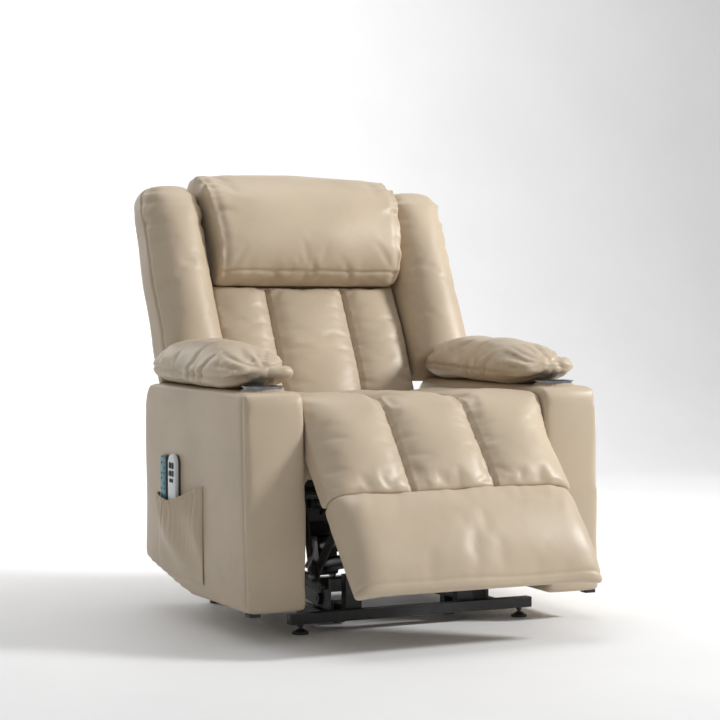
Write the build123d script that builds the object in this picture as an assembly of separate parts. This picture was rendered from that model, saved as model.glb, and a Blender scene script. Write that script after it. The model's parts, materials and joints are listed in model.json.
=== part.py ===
"""Power lift recliner chair: a floor base, a lifting four-bar, a seat frame with arms, a
reclining back and a swinging leg rest, each piece as its own solid.

Millimetres.  +Z is up, the sitter faces -Y and +X is at the right of someone who looks at
the chair from the front.  Side profiles are drawn as (y, z).  The pose that is written is
the half-reclined one: leg rest part way up, back a little back, lift fully lowered.
"""
from build123d import *
import os
from math import sin, cos, radians, degrees, atan2, hypot

# ---------------------------------------------------------------- overall sizes
CHAIR_WIDTH = 900.0          # over the two arm boxes
ARM_WIDTH = 142.0            # one arm box
ARM_HEIGHT = 563.0           # floor to the top of the arm box
ARM_BOTTOM = 67.0            # floor to the arm box
ARM_FRONT = -335.0           # front edge of the arm's top
ARM_FRONT_SLOPE = 24.0       # the arm's front leans out by this much at its foot
ARM_REAR = 315.0
ARM_HEEL = 57.0              # how far the arm's bottom edge sweeps up at the rear
ARM_HEEL_START = -20.0       # where that sweep begins
PANEL = 12.0                 # arm side panels
BOARD = 14.0                 # arm front panel and deck

# ---------------------------------------------------------------- floor base
BASE_LENGTH = 628.0          # front and rear tubes
BASE_FRONT = -278.5          # front face of the front tube
BASE_DEPTH = 541.0           # over the front and rear tubes
TUBE_W = 25.0
TUBE_H = 24.0
TUBE_WALL = 2.0
TUBE_Z = 23.0                # underside of the tubes
RAIL_X = 216.0               # side rails, centre
FOOT_INSET = 28.0            # levelling foot from the tube's end
FOOT_R = 19.0
STUD_R = 4.0
WHEEL_R = 22.0
WHEEL_W = 22.0
WHEEL_X = 146.0
WHEEL_Y = -170.0
WHEEL_GAP = 1.5              # the wheels hang this far above the floor
POST_W = 40.0
POST_TOP = 125.0

# ---------------------------------------------------------------- lift linkage, (y, z)
PLATE = 6.0                  # link and bracket plates
SIDE_GAP = 2.5               # between neighbouring plates
LIFT_PIVOT = (-200.0, 68.0)  # lift arm on the base
LIFT_TOP = (150.0, 112.0)    # lift arm on the seat frame
LINK_PIVOT = (-235.0, 98.0)  # front link on the base
LINK_TOP_Z = 140.0           # height of the front link's upper pivot
LIFT_TRAVEL = 55.0           # lift arm swing, degrees
SEAT_TILT = 25.0             # forward tilt of the seat when fully lifted, degrees
TORQUE_REACH = 100.0         # torque tube from the lift arm's pivot
TORQUE_TUBE = 30.0
LIFT_LEVER = (120.0, 75.0)   # lever pin from the lift arm's pivot
LIFT_MOTOR = (235.0, 78.0)   # motor pivot on the base

# ---------------------------------------------------------------- seat frame
SIDE_PLATE_X = 262.0         # inner face of the mechanism's side plates
SEAT_HALF = 304.0            # half width of the seat box
SEAT_Z = 350.0               # underside of the seat box
SEAT_BOX_H = 50.0
SEAT_FRONT = -235.0
SEAT_REAR = 170.0
RAIL_SIDE = 40.0
RAIL_END = 22.0
CUSHION_GAP = 4.0              # between the seat box and its cushion
CUSHION_TOP = 530.0
CUSHION_Y = (-262.0, 135.0)
REAR_TUBE = (200.0, 215.0)
REAR_TUBE_SIZE = 30.0
FRONT_TUBE = (-100.0, 328.0)
FRONT_TUBE_SIZE = 20.0

# ---------------------------------------------------------------- leg rest
LEG_CENTRE = (-365.0, 518.0)   # point about which the leg rest swings
LEG_REST_ANGLE = 42.0          # from vertical, as written
LEG_OPEN_ANGLE = 88.0
LEG_HALF = 298.0
LEG_FACE = -345.0              # front face of the pads with the leg rest shut
LEG_PAD = 60.0
LEG_BOARD = 16.0
LEG_TOP = 540.0                # top, seam and bottom with the leg rest shut
LEG_SEAM = 306.0
LEG_BOTTOM = 62.0
LEG_PIVOT = (-205.0, 310.0)    # lower leg link on the side plate
LEG_LOWER = 190.0
LEG_UPPER = 220.0
LEG_LOWER_ANGLE = -73.65       # from straight ahead, as written
LEG_UPPER_ANGLE = 46.75
LEG_TUBE_R = 11.0              # tube that joins the two lower links
LEG_LEVER = 45.0
LEG_LEVER_BACK = 19.0          # the lever trails the lower link by this angle
LEG_MOTOR = (150.0, 262.0)
LEG_MOTOR_X = -60.0

# ---------------------------------------------------------------- back
BACK_HINGE = (230.0, 400.0)
BACK_ANGLE = 25.3              # from vertical, as written
BACK_PANEL = (10.0, 30.0)      # distances in front of the back's rear plane
BACK_PANEL_HALF = 252.0
BACK_STEP = 145.0              # above this height the back is wide enough to meet the wings
BACK_HEIGHT = 690.0            # hinge to the top of the wings
WING_INNER = 264.0
WING_OUTER = 432.0
WING_DEPTH = 150.0
LUMBAR_HALF = 258.0
LUMBAR = (38.0, 95.0)
LUMBAR_TOP = 398.0
PILLOW_TOP = 712.0
PILLOW_DEPTH = 188.0
BACK_LEVER = 90.0
BACK_LEVER_TRAIL = 14.0        # the lever points this far behind straight down
BACK_MOTOR = (-100.0, 290.0)
BACK_MOTOR_X = 60.0

# ---------------------------------------------------------------- actuators
GEAR_HALF = 26.0
ACTUATOR_R = 18.0
ROD_R = 9.0
ROD_FREE = 40.0                # rod left bare when the actuator is fully shut
EYE_R = 12.0
LEVER_GAP = 10.5               # lever plates stand this far from the actuator's middle
LEVER_PLATE = 5.0
PIN_R = 6.0
FIT = 0.1                      # radial clearance of every pivot

# ---------------------------------------------------------------- arm fittings
CUP_R = 41.0
CUP_WALL = 3.0
CUP_DEPTH = 70.0
CUP_RIM = 7.0
CUP_Y = -268.0
PAD_REAR = 228.0
PAD_FRONT = -248.0
PAD_TOP = 668.0
PAD_INNER = 298.0
PAD_OUTER = 456.0
POCKET_Y = (-95.0, 182.0)
POCKET_Z = (102.0, 313.0)
POCKET_DEPTH = 26.0
POCKET_WALL = 3.0
HANDSET_Y = 74.0
HANDSET = (20.0, 52.0, 168.0)      # thickness, width, length
HANDSET_Z = 222.0
ROCKER_Z = (364.0, 345.0, 328.0)
ROCKER_H = (15.0, 14.0, 10.0)
ROCKER_W = (32.0, 32.0, 24.0)
ROCKER_PROUD = 2.0
ROCKER_SUNK = 2.0
REMOTE_Y = 140.0
REMOTE = (18.0, 46.0, 156.0)
REMOTE_Z = 228.0
POCKET_GAP = 1.5               # between the hand controls and the arm's panel

# ---------------------------------------------------------------- worked out from the above
ARM_OUTER = CHAIR_WIDTH / 2
ARM_INNER = ARM_OUTER - ARM_WIDTH
ARM_MIDDLE = ARM_OUTER - ARM_WIDTH / 2
TUBE_TOP = TUBE_Z + TUBE_H
BASE_REAR = BASE_FRONT + BASE_DEPTH
FRONT_MID = BASE_FRONT + TUBE_W / 2
REAR_MID = BASE_REAR - TUBE_W / 2
BRACKET_X = RAIL_X - TUBE_W / 2
ARM_PLATE_X = BRACKET_X + PLATE + SIDE_GAP
LINK_PLATE_X = ARM_PLATE_X + PLATE + SIDE_GAP
LEG_LOWER_X = SIDE_PLATE_X - PLATE - PLATE
LEG_UPPER_X = LEG_LOWER_X - PLATE - 1.0
LEG_BRACKET_X = LEG_UPPER_X - PLATE - 1.0
BACK_BRACKET_X = SIDE_PLATE_X - PLATE - 4.0


def turned(point, centre, angle):
    """A side-view point after a turn about +X by angle degrees."""
    dy = point[0] - centre[0]
    dz = point[1] - centre[1]
    a = radians(angle)
    return (centre[0] + dy * cos(a) - dz * sin(a), centre[1] + dy * sin(a) + dz * cos(a))


def reach(point, length, angle):
    """The point at length from point, at an angle above straight ahead (-Y)."""
    return (point[0] - length * cos(radians(angle)), point[1] + length * sin(radians(angle)))


def distance(p, q):
    return hypot(q[0] - p[0], q[1] - p[1])


def rise(p, q):
    """Angle of q seen from p, above the horizontal, whichever way q lies."""
    return degrees(atan2(q[1] - p[1], abs(q[0] - p[0])))


def lifted(point):
    """A seat-frame point with the lift fully raised."""
    new_top = turned(LIFT_TOP, LIFT_PIVOT, LIFT_TRAVEL)
    moved = (point[0] - LIFT_TOP[0] + new_top[0], point[1] - LIFT_TOP[1] + new_top[1])
    return turned(moved, new_top, SEAT_TILT)


def link_top():
    """The upper pivot of the front link: equally far from its base pivot lowered and lifted."""
    low, high = ARM_FRONT, ARM_REAR
    while high - low > 1e-6:
        middle = (low + high) / 2
        point = (middle, LINK_TOP_Z)
        if distance(lifted(point), LINK_PIVOT) > distance(point, LINK_PIVOT):
            low = middle
        else:
            high = middle
    return (low, LINK_TOP_Z)


def link_travel():
    start = rise(LINK_PIVOT, LINK_TOP)
    end = lifted(LINK_TOP)
    return degrees(atan2(end[1] - LINK_PIVOT[1], end[0] - LINK_PIVOT[0])) - start


LINK_TOP = link_top()
LINK_TRAVEL = link_travel()
LIFT_LEVER_PIN = (LIFT_PIVOT[0] + LIFT_LEVER[0], LIFT_PIVOT[1] + LIFT_LEVER[1])
LIFT_ARM_ANGLE = degrees(atan2(LIFT_TOP[1] - LIFT_PIVOT[1], LIFT_TOP[0] - LIFT_PIVOT[0]))
TORQUE_AXIS = (LIFT_PIVOT[0] + TORQUE_REACH * cos(radians(LIFT_ARM_ANGLE)),
               LIFT_PIVOT[1] + TORQUE_REACH * sin(radians(LIFT_ARM_ANGLE)))
LEG_KNEE = reach(LEG_PIVOT, LEG_LOWER, LEG_LOWER_ANGLE)
LEG_END = reach(LEG_KNEE, LEG_UPPER, LEG_UPPER_ANGLE)
LEG_LEVER_PIN = reach(LEG_PIVOT, LEG_LEVER, LEG_LOWER_ANGLE - LEG_LEVER_BACK)
BACK_LEVER_PIN = (BACK_HINGE[0] + BACK_LEVER * sin(radians(BACK_LEVER_TRAIL)),
                  BACK_HINGE[1] - BACK_LEVER * cos(radians(BACK_LEVER_TRAIL)))

# swing of the links per degree of leg rest, from the shut and the open position
LEG_LOWER_RATIO = 1.2283
LEG_UPPER_RATIO = -0.1161
BACK_FORWARD = 10.0            # from the written pose to upright
BACK_RECLINE = 38.0            # from the written pose to fully reclined


def lift_length(swing):
    return distance(LIFT_MOTOR, turned(LIFT_LEVER_PIN, LIFT_PIVOT, swing))


def leg_length(opening):
    return distance(LEG_MOTOR, turned(LEG_LEVER_PIN, LEG_PIVOT, -opening * LEG_LOWER_RATIO))


def back_length(recline):
    return distance(BACK_MOTOR, turned(BACK_LEVER_PIN, BACK_HINGE, -recline))


LIFT_STROKE = (lift_length(0), lift_length(LIFT_TRAVEL))
LEG_STROKE = (leg_length(-LEG_REST_ANGLE), leg_length(LEG_OPEN_ANGLE - LEG_REST_ANGLE))
BACK_STROKE = (back_length(BACK_RECLINE), back_length(-BACK_FORWARD))


# ---------------------------------------------------------------- building blocks
def block(x0, x1, y0, y1, z0, z1):
    """A box between two corners."""
    return Pos((x0 + x1) / 2, (y0 + y1) / 2, (z0 + z1) / 2) * Box(x1 - x0, y1 - y0, z1 - z0)


def profile(points, x0, x1):
    """A side-view outline of (y, z) points, as thick as x0 to x1."""
    face = make_face(Polyline(*points, close=True))
    return extrude(Plane.YZ.offset(x0) * face, x1 - x0)


def pin(centre, radius, x0, x1):
    """A round bar along X."""
    return Pos((x0 + x1) / 2, centre[0], centre[1]) * Rot(0, 90, 0) * Cylinder(radius, x1 - x0)


def strap(p, q, radius, x0, x1):
    """A flat link with round ends at the side-view points p and q."""
    middle = Pos((p[0] + q[0]) / 2, (p[1] + q[1]) / 2)
    turn = Rot(0, 0, degrees(atan2(q[1] - p[1], q[0] - p[0])))
    outline = middle * turn * SlotCenterToCenter(distance(p, q), 2 * radius)
    return extrude(Plane.YZ.offset(x0) * outline, x1 - x0)


def tube_x(x0, x1, centre, width, height, wall):
    """A rectangular tube along X, open at its ends."""
    outer = block(x0, x1, centre[0] - width / 2, centre[0] + width / 2,
                  centre[1] - height / 2, centre[1] + height / 2)
    inner = block(x0, x1, centre[0] - width / 2 + wall, centre[0] + width / 2 - wall,
                  centre[1] - height / 2 + wall, centre[1] + height / 2 - wall)
    return outer - inner


def flipped(part):
    """The same piece on the other side of the chair."""
    return mirror(part, about=Plane.YZ)


def pair(part):
    return Compound([*part.solids(), *flipped(part).solids()])


def swung(part, centre, angle):
    """A piece turned about +X through a side-view point."""
    return Pos(0, *centre) * Rot(angle, 0, 0) * Pos(0, -centre[0], -centre[1]) * part


def in_leg_rest(part):
    """From the shut position to the written one."""
    return swung(part, LEG_CENTRE, -LEG_REST_ANGLE)


def in_back(part):
    """From back coordinates (forward = -Y, up = +Z, hinge at 0) to the written pose."""
    return Pos(0, *BACK_HINGE) * Rot(-BACK_ANGLE, 0, 0) * part


def back_point(forward, up):
    """A point in back coordinates, as a side-view point for profile()."""
    return (-forward, up)


# ---------------------------------------------------------------- base
def base_tube(middle_y):
    tube = tube_x(-BASE_LENGTH / 2, BASE_LENGTH / 2, (middle_y, TUBE_Z + TUBE_H / 2),
                  TUBE_W, TUBE_H, TUBE_WALL)
    for x in foot_places():
        tube -= Pos(x, middle_y, TUBE_Z) * Cylinder(STUD_R + FIT, 4 * TUBE_WALL)
    return tube


def foot_places():
    return (-BASE_LENGTH / 2 + FOOT_INSET, BASE_LENGTH / 2 - FOOT_INSET)


def base_side_rails():
    y0 = BASE_FRONT + TUBE_W
    y1 = BASE_REAR - TUBE_W
    outer = block(RAIL_X - TUBE_W / 2, RAIL_X + TUBE_W / 2, y0, y1, TUBE_Z, TUBE_TOP)
    inner = block(RAIL_X - TUBE_W / 2 + TUBE_WALL, RAIL_X + TUBE_W / 2 - TUBE_WALL, y0, y1,
                  TUBE_Z + TUBE_WALL, TUBE_TOP - TUBE_WALL)
    return pair(outer - inner)


def levelling_foot(x, y):
    """Pad, cone, lock nut and threaded stud, turning as one in the tube's threaded hole."""
    pad_h = 6.0
    cone_h = 6.0
    nut_z = TUBE_Z - 6.0
    foot = Pos(0, 0, pad_h / 2) * Cylinder(FOOT_R, pad_h)
    foot += Pos(0, 0, pad_h + cone_h / 2) * Cone(FOOT_R - 3, STUD_R + 2, cone_h)
    stud_top = TUBE_TOP - TUBE_WALL - 3.0
    foot += Pos(0, 0, (pad_h + stud_top) / 2) * Cylinder(STUD_R, stud_top - pad_h)
    nut = extrude(Pos(0, 0, nut_z) * RegularPolygon(7.5, 6), 5.0)
    return Pos(x, y, 0) * (foot + nut)


def wheel_posts():
    """A post behind the front tube, with a fork that carries a transport wheel's axle."""
    y0 = BASE_FRONT + TUBE_W
    fork = 4.0
    cheek_x = WHEEL_W / 2 + 2.0
    axle_z = WHEEL_R + WHEEL_GAP
    top_z = axle_z + WHEEL_R + 4.0
    post = block(WHEEL_X - POST_W / 2, WHEEL_X + POST_W / 2, y0, y0 + TUBE_W, TUBE_Z, POST_TOP)
    post -= block(WHEEL_X - POST_W / 2 + TUBE_WALL, WHEEL_X + POST_W / 2 - TUBE_WALL,
                  y0 + TUBE_WALL, y0 + TUBE_W - TUBE_WALL, TUBE_Z, POST_TOP)
    rear = WHEEL_Y + WHEEL_R / 2
    post += block(WHEEL_X - cheek_x - fork, WHEEL_X + cheek_x + fork, y0 + TUBE_W, rear,
                  top_z, top_z + fork)
    for x0 in (WHEEL_X - cheek_x - fork, WHEEL_X + cheek_x):
        post += block(x0, x0 + fork, WHEEL_Y - WHEEL_R / 2, rear, axle_z - 8.0, top_z)
    post += pin((WHEEL_Y, axle_z), 4.0, WHEEL_X - cheek_x, WHEEL_X + cheek_x)
    return pair(post)


def transport_wheel(side):
    axle_z = WHEEL_R + WHEEL_GAP
    x0 = side * WHEEL_X - WHEEL_W / 2
    tyre = pin((WHEEL_Y, axle_z), WHEEL_R, x0, x0 + WHEEL_W)
    tyre -= pin((WHEEL_Y, axle_z), 4.0 + FIT, x0, x0 + WHEEL_W)
    return tyre


def link_brackets():
    """Plates on the side rails, with the pins of the lift arms and the front links."""
    y0 = BASE_FRONT + TUBE_W
    y1 = LIFT_PIVOT[0] + 28.0
    outline = [(y0, TUBE_TOP), (y1, TUBE_TOP), (y1 - 6, LIFT_PIVOT[1] + 17),
               (LINK_PIVOT[0] + 20, LINK_PIVOT[1] + 20), (y0, LINK_PIVOT[1] + 20)]
    bracket = profile(outline, BRACKET_X, BRACKET_X + PLATE)
    bracket += pin(LIFT_PIVOT, PIN_R, BRACKET_X, ARM_PLATE_X + PLATE + 1.0)
    bracket += pin(LINK_PIVOT, PIN_R, BRACKET_X, LINK_PLATE_X + PLATE + 1.0)
    return pair(bracket)


def actuator_clevis():
    """Two ears on the rear tube with the lift motor's pin between them."""
    y0 = BASE_REAR - TUBE_W
    y, z = LIFT_MOTOR
    ear = [(y0, TUBE_TOP), (BASE_REAR, TUBE_TOP), (BASE_REAR - 6, z), (y + 8, z + 16),
           (y - 10, z + 10), (y - 10, z - 8)]
    x0 = GEAR_HALF + 3.0
    clevis = profile(ear, x0, x0 + PLATE) + flipped(profile(ear, x0, x0 + PLATE))
    return clevis + pin(LIFT_MOTOR, PIN_R, -x0, x0)


# ---------------------------------------------------------------- lift
def lift_arm():
    arm = strap(LIFT_PIVOT, LIFT_TOP, 16.0, ARM_PLATE_X, ARM_PLATE_X + PLATE)
    for point in (LIFT_PIVOT, LIFT_TOP):
        arm -= pin(point, PIN_R + FIT, ARM_PLATE_X, ARM_PLATE_X + PLATE)
    return arm


def lever_plates(foot, tip, radius, x):
    """Two plates that straddle an actuator's eye."""
    one = strap(foot, tip, radius, LEVER_GAP, LEVER_GAP + LEVER_PLATE)
    one += pin(tip, PIN_R + 3, LEVER_GAP + LEVER_PLATE, LEVER_GAP + LEVER_PLATE + 4)
    return Pos(x, 0, 0) * one, Pos(x, 0, 0) * flipped(one)


def torque_tube():
    tube = tube_x(-ARM_PLATE_X, ARM_PLATE_X, TORQUE_AXIS, TORQUE_TUBE, TORQUE_TUBE, 3.0)
    for lever in lever_plates(TORQUE_AXIS, LIFT_LEVER_PIN, 13.0, 0.0):
        tube += lever
    hollow = TORQUE_TUBE / 2 - 3.0
    y, z = TORQUE_AXIS
    return tube - block(-ARM_PLATE_X, ARM_PLATE_X, y - hollow, y + hollow, z - hollow, z + hollow)


def front_links():
    link = strap(LINK_PIVOT, LINK_TOP, 13.0, LINK_PLATE_X, LINK_PLATE_X + PLATE)
    link -= pin(LINK_PIVOT, PIN_R + FIT, LINK_PLATE_X, LINK_PLATE_X + PLATE)
    return pair(link)


# ---------------------------------------------------------------- linear actuators
class Actuator:
    """A gearbox on a pivot pin, a motor beside its tube, and a rod with an eye."""

    def __init__(self, pivot, tip, x, stroke, ahead, motor_side):
        self.pivot = pivot
        self.x = x
        self.length = distance(pivot, tip)
        self.angle = rise(pivot, tip)
        self.stroke = stroke
        self.ahead = ahead
        self.motor_side = motor_side
        self.tube_end = stroke[0] - ROD_FREE

    def place(self, part):
        """From the actuator's own axes (out along -Y, pivot at 0) to the chair's."""
        part = Rot(-self.angle, 0, 0) * part
        if not self.ahead:
            part = Rot(0, 0, 180) * part
        return Pos(self.x, *self.pivot) * part

    def gearbox(self):
        low, high = sorted((-24.0 * self.motor_side, 76.0 * self.motor_side))
        case = block(-GEAR_HALF, GEAR_HALF, -32.0, 28.0, low, high)
        case = fillet(case.edges().filter_by(Axis.X), 10.0)
        case -= pin((0, 0), PIN_R + FIT, -GEAR_HALF, GEAR_HALF)
        return case - self.bore()

    def bore(self):
        inner = -(self.tube_end + 1.0)
        return Pos(0, (inner - 20.0) / 2, 0) * Rot(90, 0, 0) * Cylinder(ROD_R + 1.0, -inner - 20.0)

    def tube(self):
        length = self.tube_end - 32.0
        tube = Pos(0, -32.0 - length / 2, 0) * Rot(90, 0, 0) * Cylinder(ACTUATOR_R, length)
        return tube - self.bore()

    def motor(self):
        length = 110.0
        can = Rot(90, 0, 0) * Cylinder(23.0, length)
        return Pos(0, -32.0 - length / 2, 50.0 * self.motor_side) * can

    def rod(self):
        length = self.stroke[1] - self.stroke[0] + 2 * ROD_FREE
        rod = Pos(0, -self.length + length / 2, 0) * Rot(90, 0, 0) * Cylinder(ROD_R, length)
        eye = pin((-self.length, 0), EYE_R, -LEVER_GAP + 2.0, LEVER_GAP - 2.0)
        return self.place(rod + eye)


LIFT = Actuator(LIFT_MOTOR, LIFT_LEVER_PIN, 0.0, LIFT_STROKE, True, 1)
LEG = Actuator(LEG_MOTOR, LEG_LEVER_PIN, LEG_MOTOR_X, LEG_STROKE, True, 1)
BACK = Actuator(BACK_MOTOR, BACK_LEVER_PIN, BACK_MOTOR_X, BACK_STROKE, False, -1)


# ---------------------------------------------------------------- seat frame
def seat_side_plates():
    """Steel plates that carry the seat, with every pivot of the mechanism."""
    front = SEAT_FRONT - 3.0
    hinge_y, hinge_z = BACK_HINGE
    outline = [(front, SEAT_Z), (front, SEAT_Z - 64), (LEG_PIVOT[0] + 20, SEAT_Z - 88),
               (LINK_TOP[0] - 40, LINK_TOP[1] - 28), (LINK_TOP[0], LIFT_TOP[1] - 24),
               (LIFT_TOP[0] + 30, LIFT_TOP[1] - 24), (hinge_y + 30, LIFT_TOP[1] + 30),
               (hinge_y + 30, hinge_z + 24), (hinge_y - 28, hinge_z + 24),
               (SEAT_REAR + 14, SEAT_Z)]
    plate = profile(outline, SIDE_PLATE_X, SIDE_PLATE_X + PLATE)
    for centre, size in ((REAR_TUBE, REAR_TUBE_SIZE), (FRONT_TUBE, FRONT_TUBE_SIZE)):
        plate -= block(SIDE_PLATE_X, SIDE_PLATE_X + PLATE, centre[0] - size / 2,
                       centre[0] + size / 2, centre[1] - size / 2, centre[1] + size / 2)
    for y in (-60.0, 40.0, 130.0):
        plate -= pin((y, SEAT_Z - 110.0), 26.0, SIDE_PLATE_X, SIDE_PLATE_X + PLATE)
    plate += pin(LIFT_TOP, PIN_R, ARM_PLATE_X - 1.0, SIDE_PLATE_X)
    plate += pin(LINK_TOP, PIN_R + 3, LINK_PLATE_X + PLATE + 2.0, SIDE_PLATE_X)
    plate += pin(LEG_PIVOT, PIN_R, LEG_LOWER_X - 8.0, SIDE_PLATE_X)
    plate += pin(BACK_HINGE, PIN_R + 1, BACK_BRACKET_X - 1.0, SIDE_PLATE_X)
    return pair(plate)


def motor_ears(points, x):
    gap = GEAR_HALF + 2.0
    one = profile(points, gap, gap + 5.0)
    return Pos(x, 0, 0) * one, Pos(x, 0, 0) * flipped(one)


def cross_tubes():
    """The rear and front tubes between the side plates, with the motors' ears and pins."""
    y, z = REAR_TUBE
    half = REAR_TUBE_SIZE / 2
    rear = tube_x(-ARM_INNER, ARM_INNER, REAR_TUBE, REAR_TUBE_SIZE, REAR_TUBE_SIZE, 3.0)
    my, mz = LEG_MOTOR
    ears = [(y - half, z), (y - half, z + half), (y + half, z + half), (my + 12, mz + 13),
            (my - 12, mz + 13), (my - 12, mz - 12)]
    for ear in motor_ears(ears, LEG_MOTOR_X):
        rear += ear
    rear += Pos(LEG_MOTOR_X, 0, 0) * pin(LEG_MOTOR, PIN_R, -GEAR_HALF - 2, GEAR_HALF + 2)
    y, z = FRONT_TUBE
    half = FRONT_TUBE_SIZE / 2
    front = tube_x(-ARM_INNER, ARM_INNER, FRONT_TUBE, FRONT_TUBE_SIZE, FRONT_TUBE_SIZE, 2.0)
    my, mz = BACK_MOTOR
    ears = [(y - half, z - half), (my - 11, mz - 12), (my + 11, mz - 12), (y + half, z - half)]
    for ear in motor_ears(ears, BACK_MOTOR_X):
        front += ear
    front += Pos(BACK_MOTOR_X, 0, 0) * pin(BACK_MOTOR, PIN_R, -GEAR_HALF - 2, GEAR_HALF + 2)
    return Compound([*rear.solids(), *front.solids()])


def seat_box():
    """The wooden ring that the springs and the cushion lie on."""
    top = SEAT_Z + SEAT_BOX_H
    ring = block(-SEAT_HALF, SEAT_HALF, SEAT_FRONT, SEAT_REAR, SEAT_Z, top)
    return ring - block(-SEAT_HALF + RAIL_SIDE, SEAT_HALF - RAIL_SIDE,
                        SEAT_FRONT + RAIL_END, SEAT_REAR - RAIL_END, SEAT_Z, top)


def seat_springs():
    """Sinuous wire springs from the front rail to the rear rail."""
    y0 = SEAT_FRONT + RAIL_END + 2.0
    y1 = SEAT_REAR - RAIL_END - 2.0
    z = SEAT_Z + SEAT_BOX_H - 8.0
    bends = 14
    pitch = (y1 - y0) / bends
    swing = 20.0
    springs = []
    for x in (-165.0, -55.0, 55.0, 165.0):
        points = [(x, y0, z)]
        for i in range(bends):
            side = swing if i % 2 else -swing
            points += [(x + side, y0 + i * pitch + 3.0, z), (x + side, y0 + (i + 1) * pitch - 3.0, z)]
        points.append((x, y1, z))
        path = FilletPolyline(*points, radius=6.0)
        start = Plane(origin=path @ 0, z_dir=path % 0)
        springs.append(sweep(start * Circle(2.0), path=path).solid())
    return Compound(springs)


def seat_cushion():
    underside = SEAT_Z + SEAT_BOX_H + CUSHION_GAP
    return block(-SEAT_HALF + 1, SEAT_HALF - 1, *CUSHION_Y, underside, CUSHION_TOP)


def control_box():
    """Power and control box on the rear tube, with the round inlet in its rear wall."""
    y0 = REAR_TUBE[0] + REAR_TUBE_SIZE / 2
    z = REAR_TUBE[1]
    case = block(-70.0, 70.0, y0, y0 + 42.0, z - 20.0, z + 20.0)
    case = fillet(case.edges().filter_by(Axis.Y), 6.0)
    return case - Pos(38.0, y0 + 42.0, z) * Rot(90, 0, 0) * Cylinder(7.0, 24.0)


# ---------------------------------------------------------------- arms
def arm_outline():
    """The arm's side profile, clockwise from the foot of its front edge."""
    foot = (ARM_FRONT - ARM_FRONT_SLOPE, ARM_BOTTOM)
    heel = (ARM_HEEL_START, ARM_BOTTOM)
    toe = (ARM_REAR, ARM_BOTTOM + ARM_HEEL)
    shoulder = (ARM_REAR, ARM_HEIGHT - 123.0)
    top_rear = (ARM_REAR - 75.0, ARM_HEIGHT - 36.0)
    top_bend = (ARM_FRONT + 185.0, ARM_HEIGHT)
    top_front = (ARM_FRONT, ARM_HEIGHT)
    edges = [Line(foot, heel), TangentArc(heel, toe, tangent=(1, 0)), Line(toe, shoulder),
             TangentArc(shoulder, top_rear, tangent=(0, 1)), Line(top_rear, top_bend),
             Line(top_bend, top_front), Line(top_front, foot)]
    return make_face(Curve() + edges)


def arm_panel(x0):
    return extrude(Plane.YZ.offset(x0) * arm_outline(), PANEL)


def arm_front_panel():
    lean = ARM_FRONT_SLOPE * BOARD / (ARM_HEIGHT - ARM_BOTTOM)
    top = ARM_HEIGHT - BOARD
    outline = [(ARM_FRONT - ARM_FRONT_SLOPE, ARM_BOTTOM),
               (ARM_FRONT - ARM_FRONT_SLOPE + BOARD, ARM_BOTTOM),
               (ARM_FRONT - lean + BOARD, top), (ARM_FRONT - lean, top)]
    return profile(outline, ARM_INNER + PANEL, ARM_OUTER - PANEL)


def deck_height(y):
    """Top of the arm's deck: level in front, then falling towards the rear."""
    bend = ARM_FRONT + 185.0
    rear = ARM_REAR - 75.0
    return ARM_HEIGHT - 36.0 * max(0.0, y - bend) / (rear - bend)


def arm_deck():
    """The board on top of the arm, with the cup holder's hole."""
    bend = ARM_FRONT + 185.0
    rear = ARM_REAR - 75.0
    lean = ARM_FRONT_SLOPE * BOARD / (ARM_HEIGHT - ARM_BOTTOM)
    outline = [(ARM_FRONT - lean, ARM_HEIGHT - BOARD), (bend, ARM_HEIGHT - BOARD),
               (rear, deck_height(rear) - BOARD), (rear, deck_height(rear)),
               (bend, ARM_HEIGHT), (ARM_FRONT, ARM_HEIGHT)]
    deck = profile(outline, ARM_INNER + PANEL, ARM_OUTER - PANEL)
    return deck - Pos(ARM_MIDDLE, CUP_Y, ARM_HEIGHT) * Cylinder(CUP_R + CUP_WALL + 0.5, 3 * BOARD)


def cup_holder():
    cup = Pos(ARM_MIDDLE, CUP_Y, ARM_HEIGHT - CUP_DEPTH / 2) * Cylinder(CUP_R + CUP_WALL, CUP_DEPTH)
    cup += Pos(ARM_MIDDLE, CUP_Y, ARM_HEIGHT + 1.0) * Cylinder(CUP_R + CUP_RIM, 2.0)
    hollow = CUP_DEPTH - CUP_WALL + 2.0
    return cup - Pos(ARM_MIDDLE, CUP_Y, ARM_HEIGHT + 2.0 - hollow / 2) * Cylinder(CUP_R, hollow)


def arm_pad():
    """The stuffed pad that lies on the deck and overhangs the cup holder."""
    lift = 1.0
    bend = ARM_FRONT + 185.0
    outline = [(PAD_FRONT + 33, ARM_HEIGHT + lift), (bend, ARM_HEIGHT + lift),
               (PAD_REAR, deck_height(PAD_REAR) + lift), (PAD_REAR + 4, 570.0),
               (PAD_REAR - 2, PAD_TOP - 68), (PAD_REAR - 56, PAD_TOP - 34),
               (PAD_REAR - 196, PAD_TOP - 15), (PAD_FRONT + 100, PAD_TOP),
               (PAD_FRONT + 33, PAD_TOP - 9), (PAD_FRONT, PAD_TOP - 45), (PAD_FRONT, 594.0)]
    pad = profile(outline, PAD_INNER, PAD_OUTER)
    ends = pad.faces().sort_by(Axis.X)
    return chamfer([*ends[0].edges(), *ends[-1].edges()], 9.0)


def side_pocket():
    """An open-topped pouch on the arm's outer panel."""
    x0 = ARM_OUTER
    x1 = ARM_OUTER + POCKET_DEPTH
    outer = block(x0, x1, *POCKET_Y, *POCKET_Z)
    inner = block(x0, x1 - POCKET_WALL, POCKET_Y[0] + POCKET_WALL, POCKET_Y[1] - POCKET_WALL,
                  POCKET_Z[0] + POCKET_WALL, POCKET_Z[1])
    return outer - inner


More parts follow.
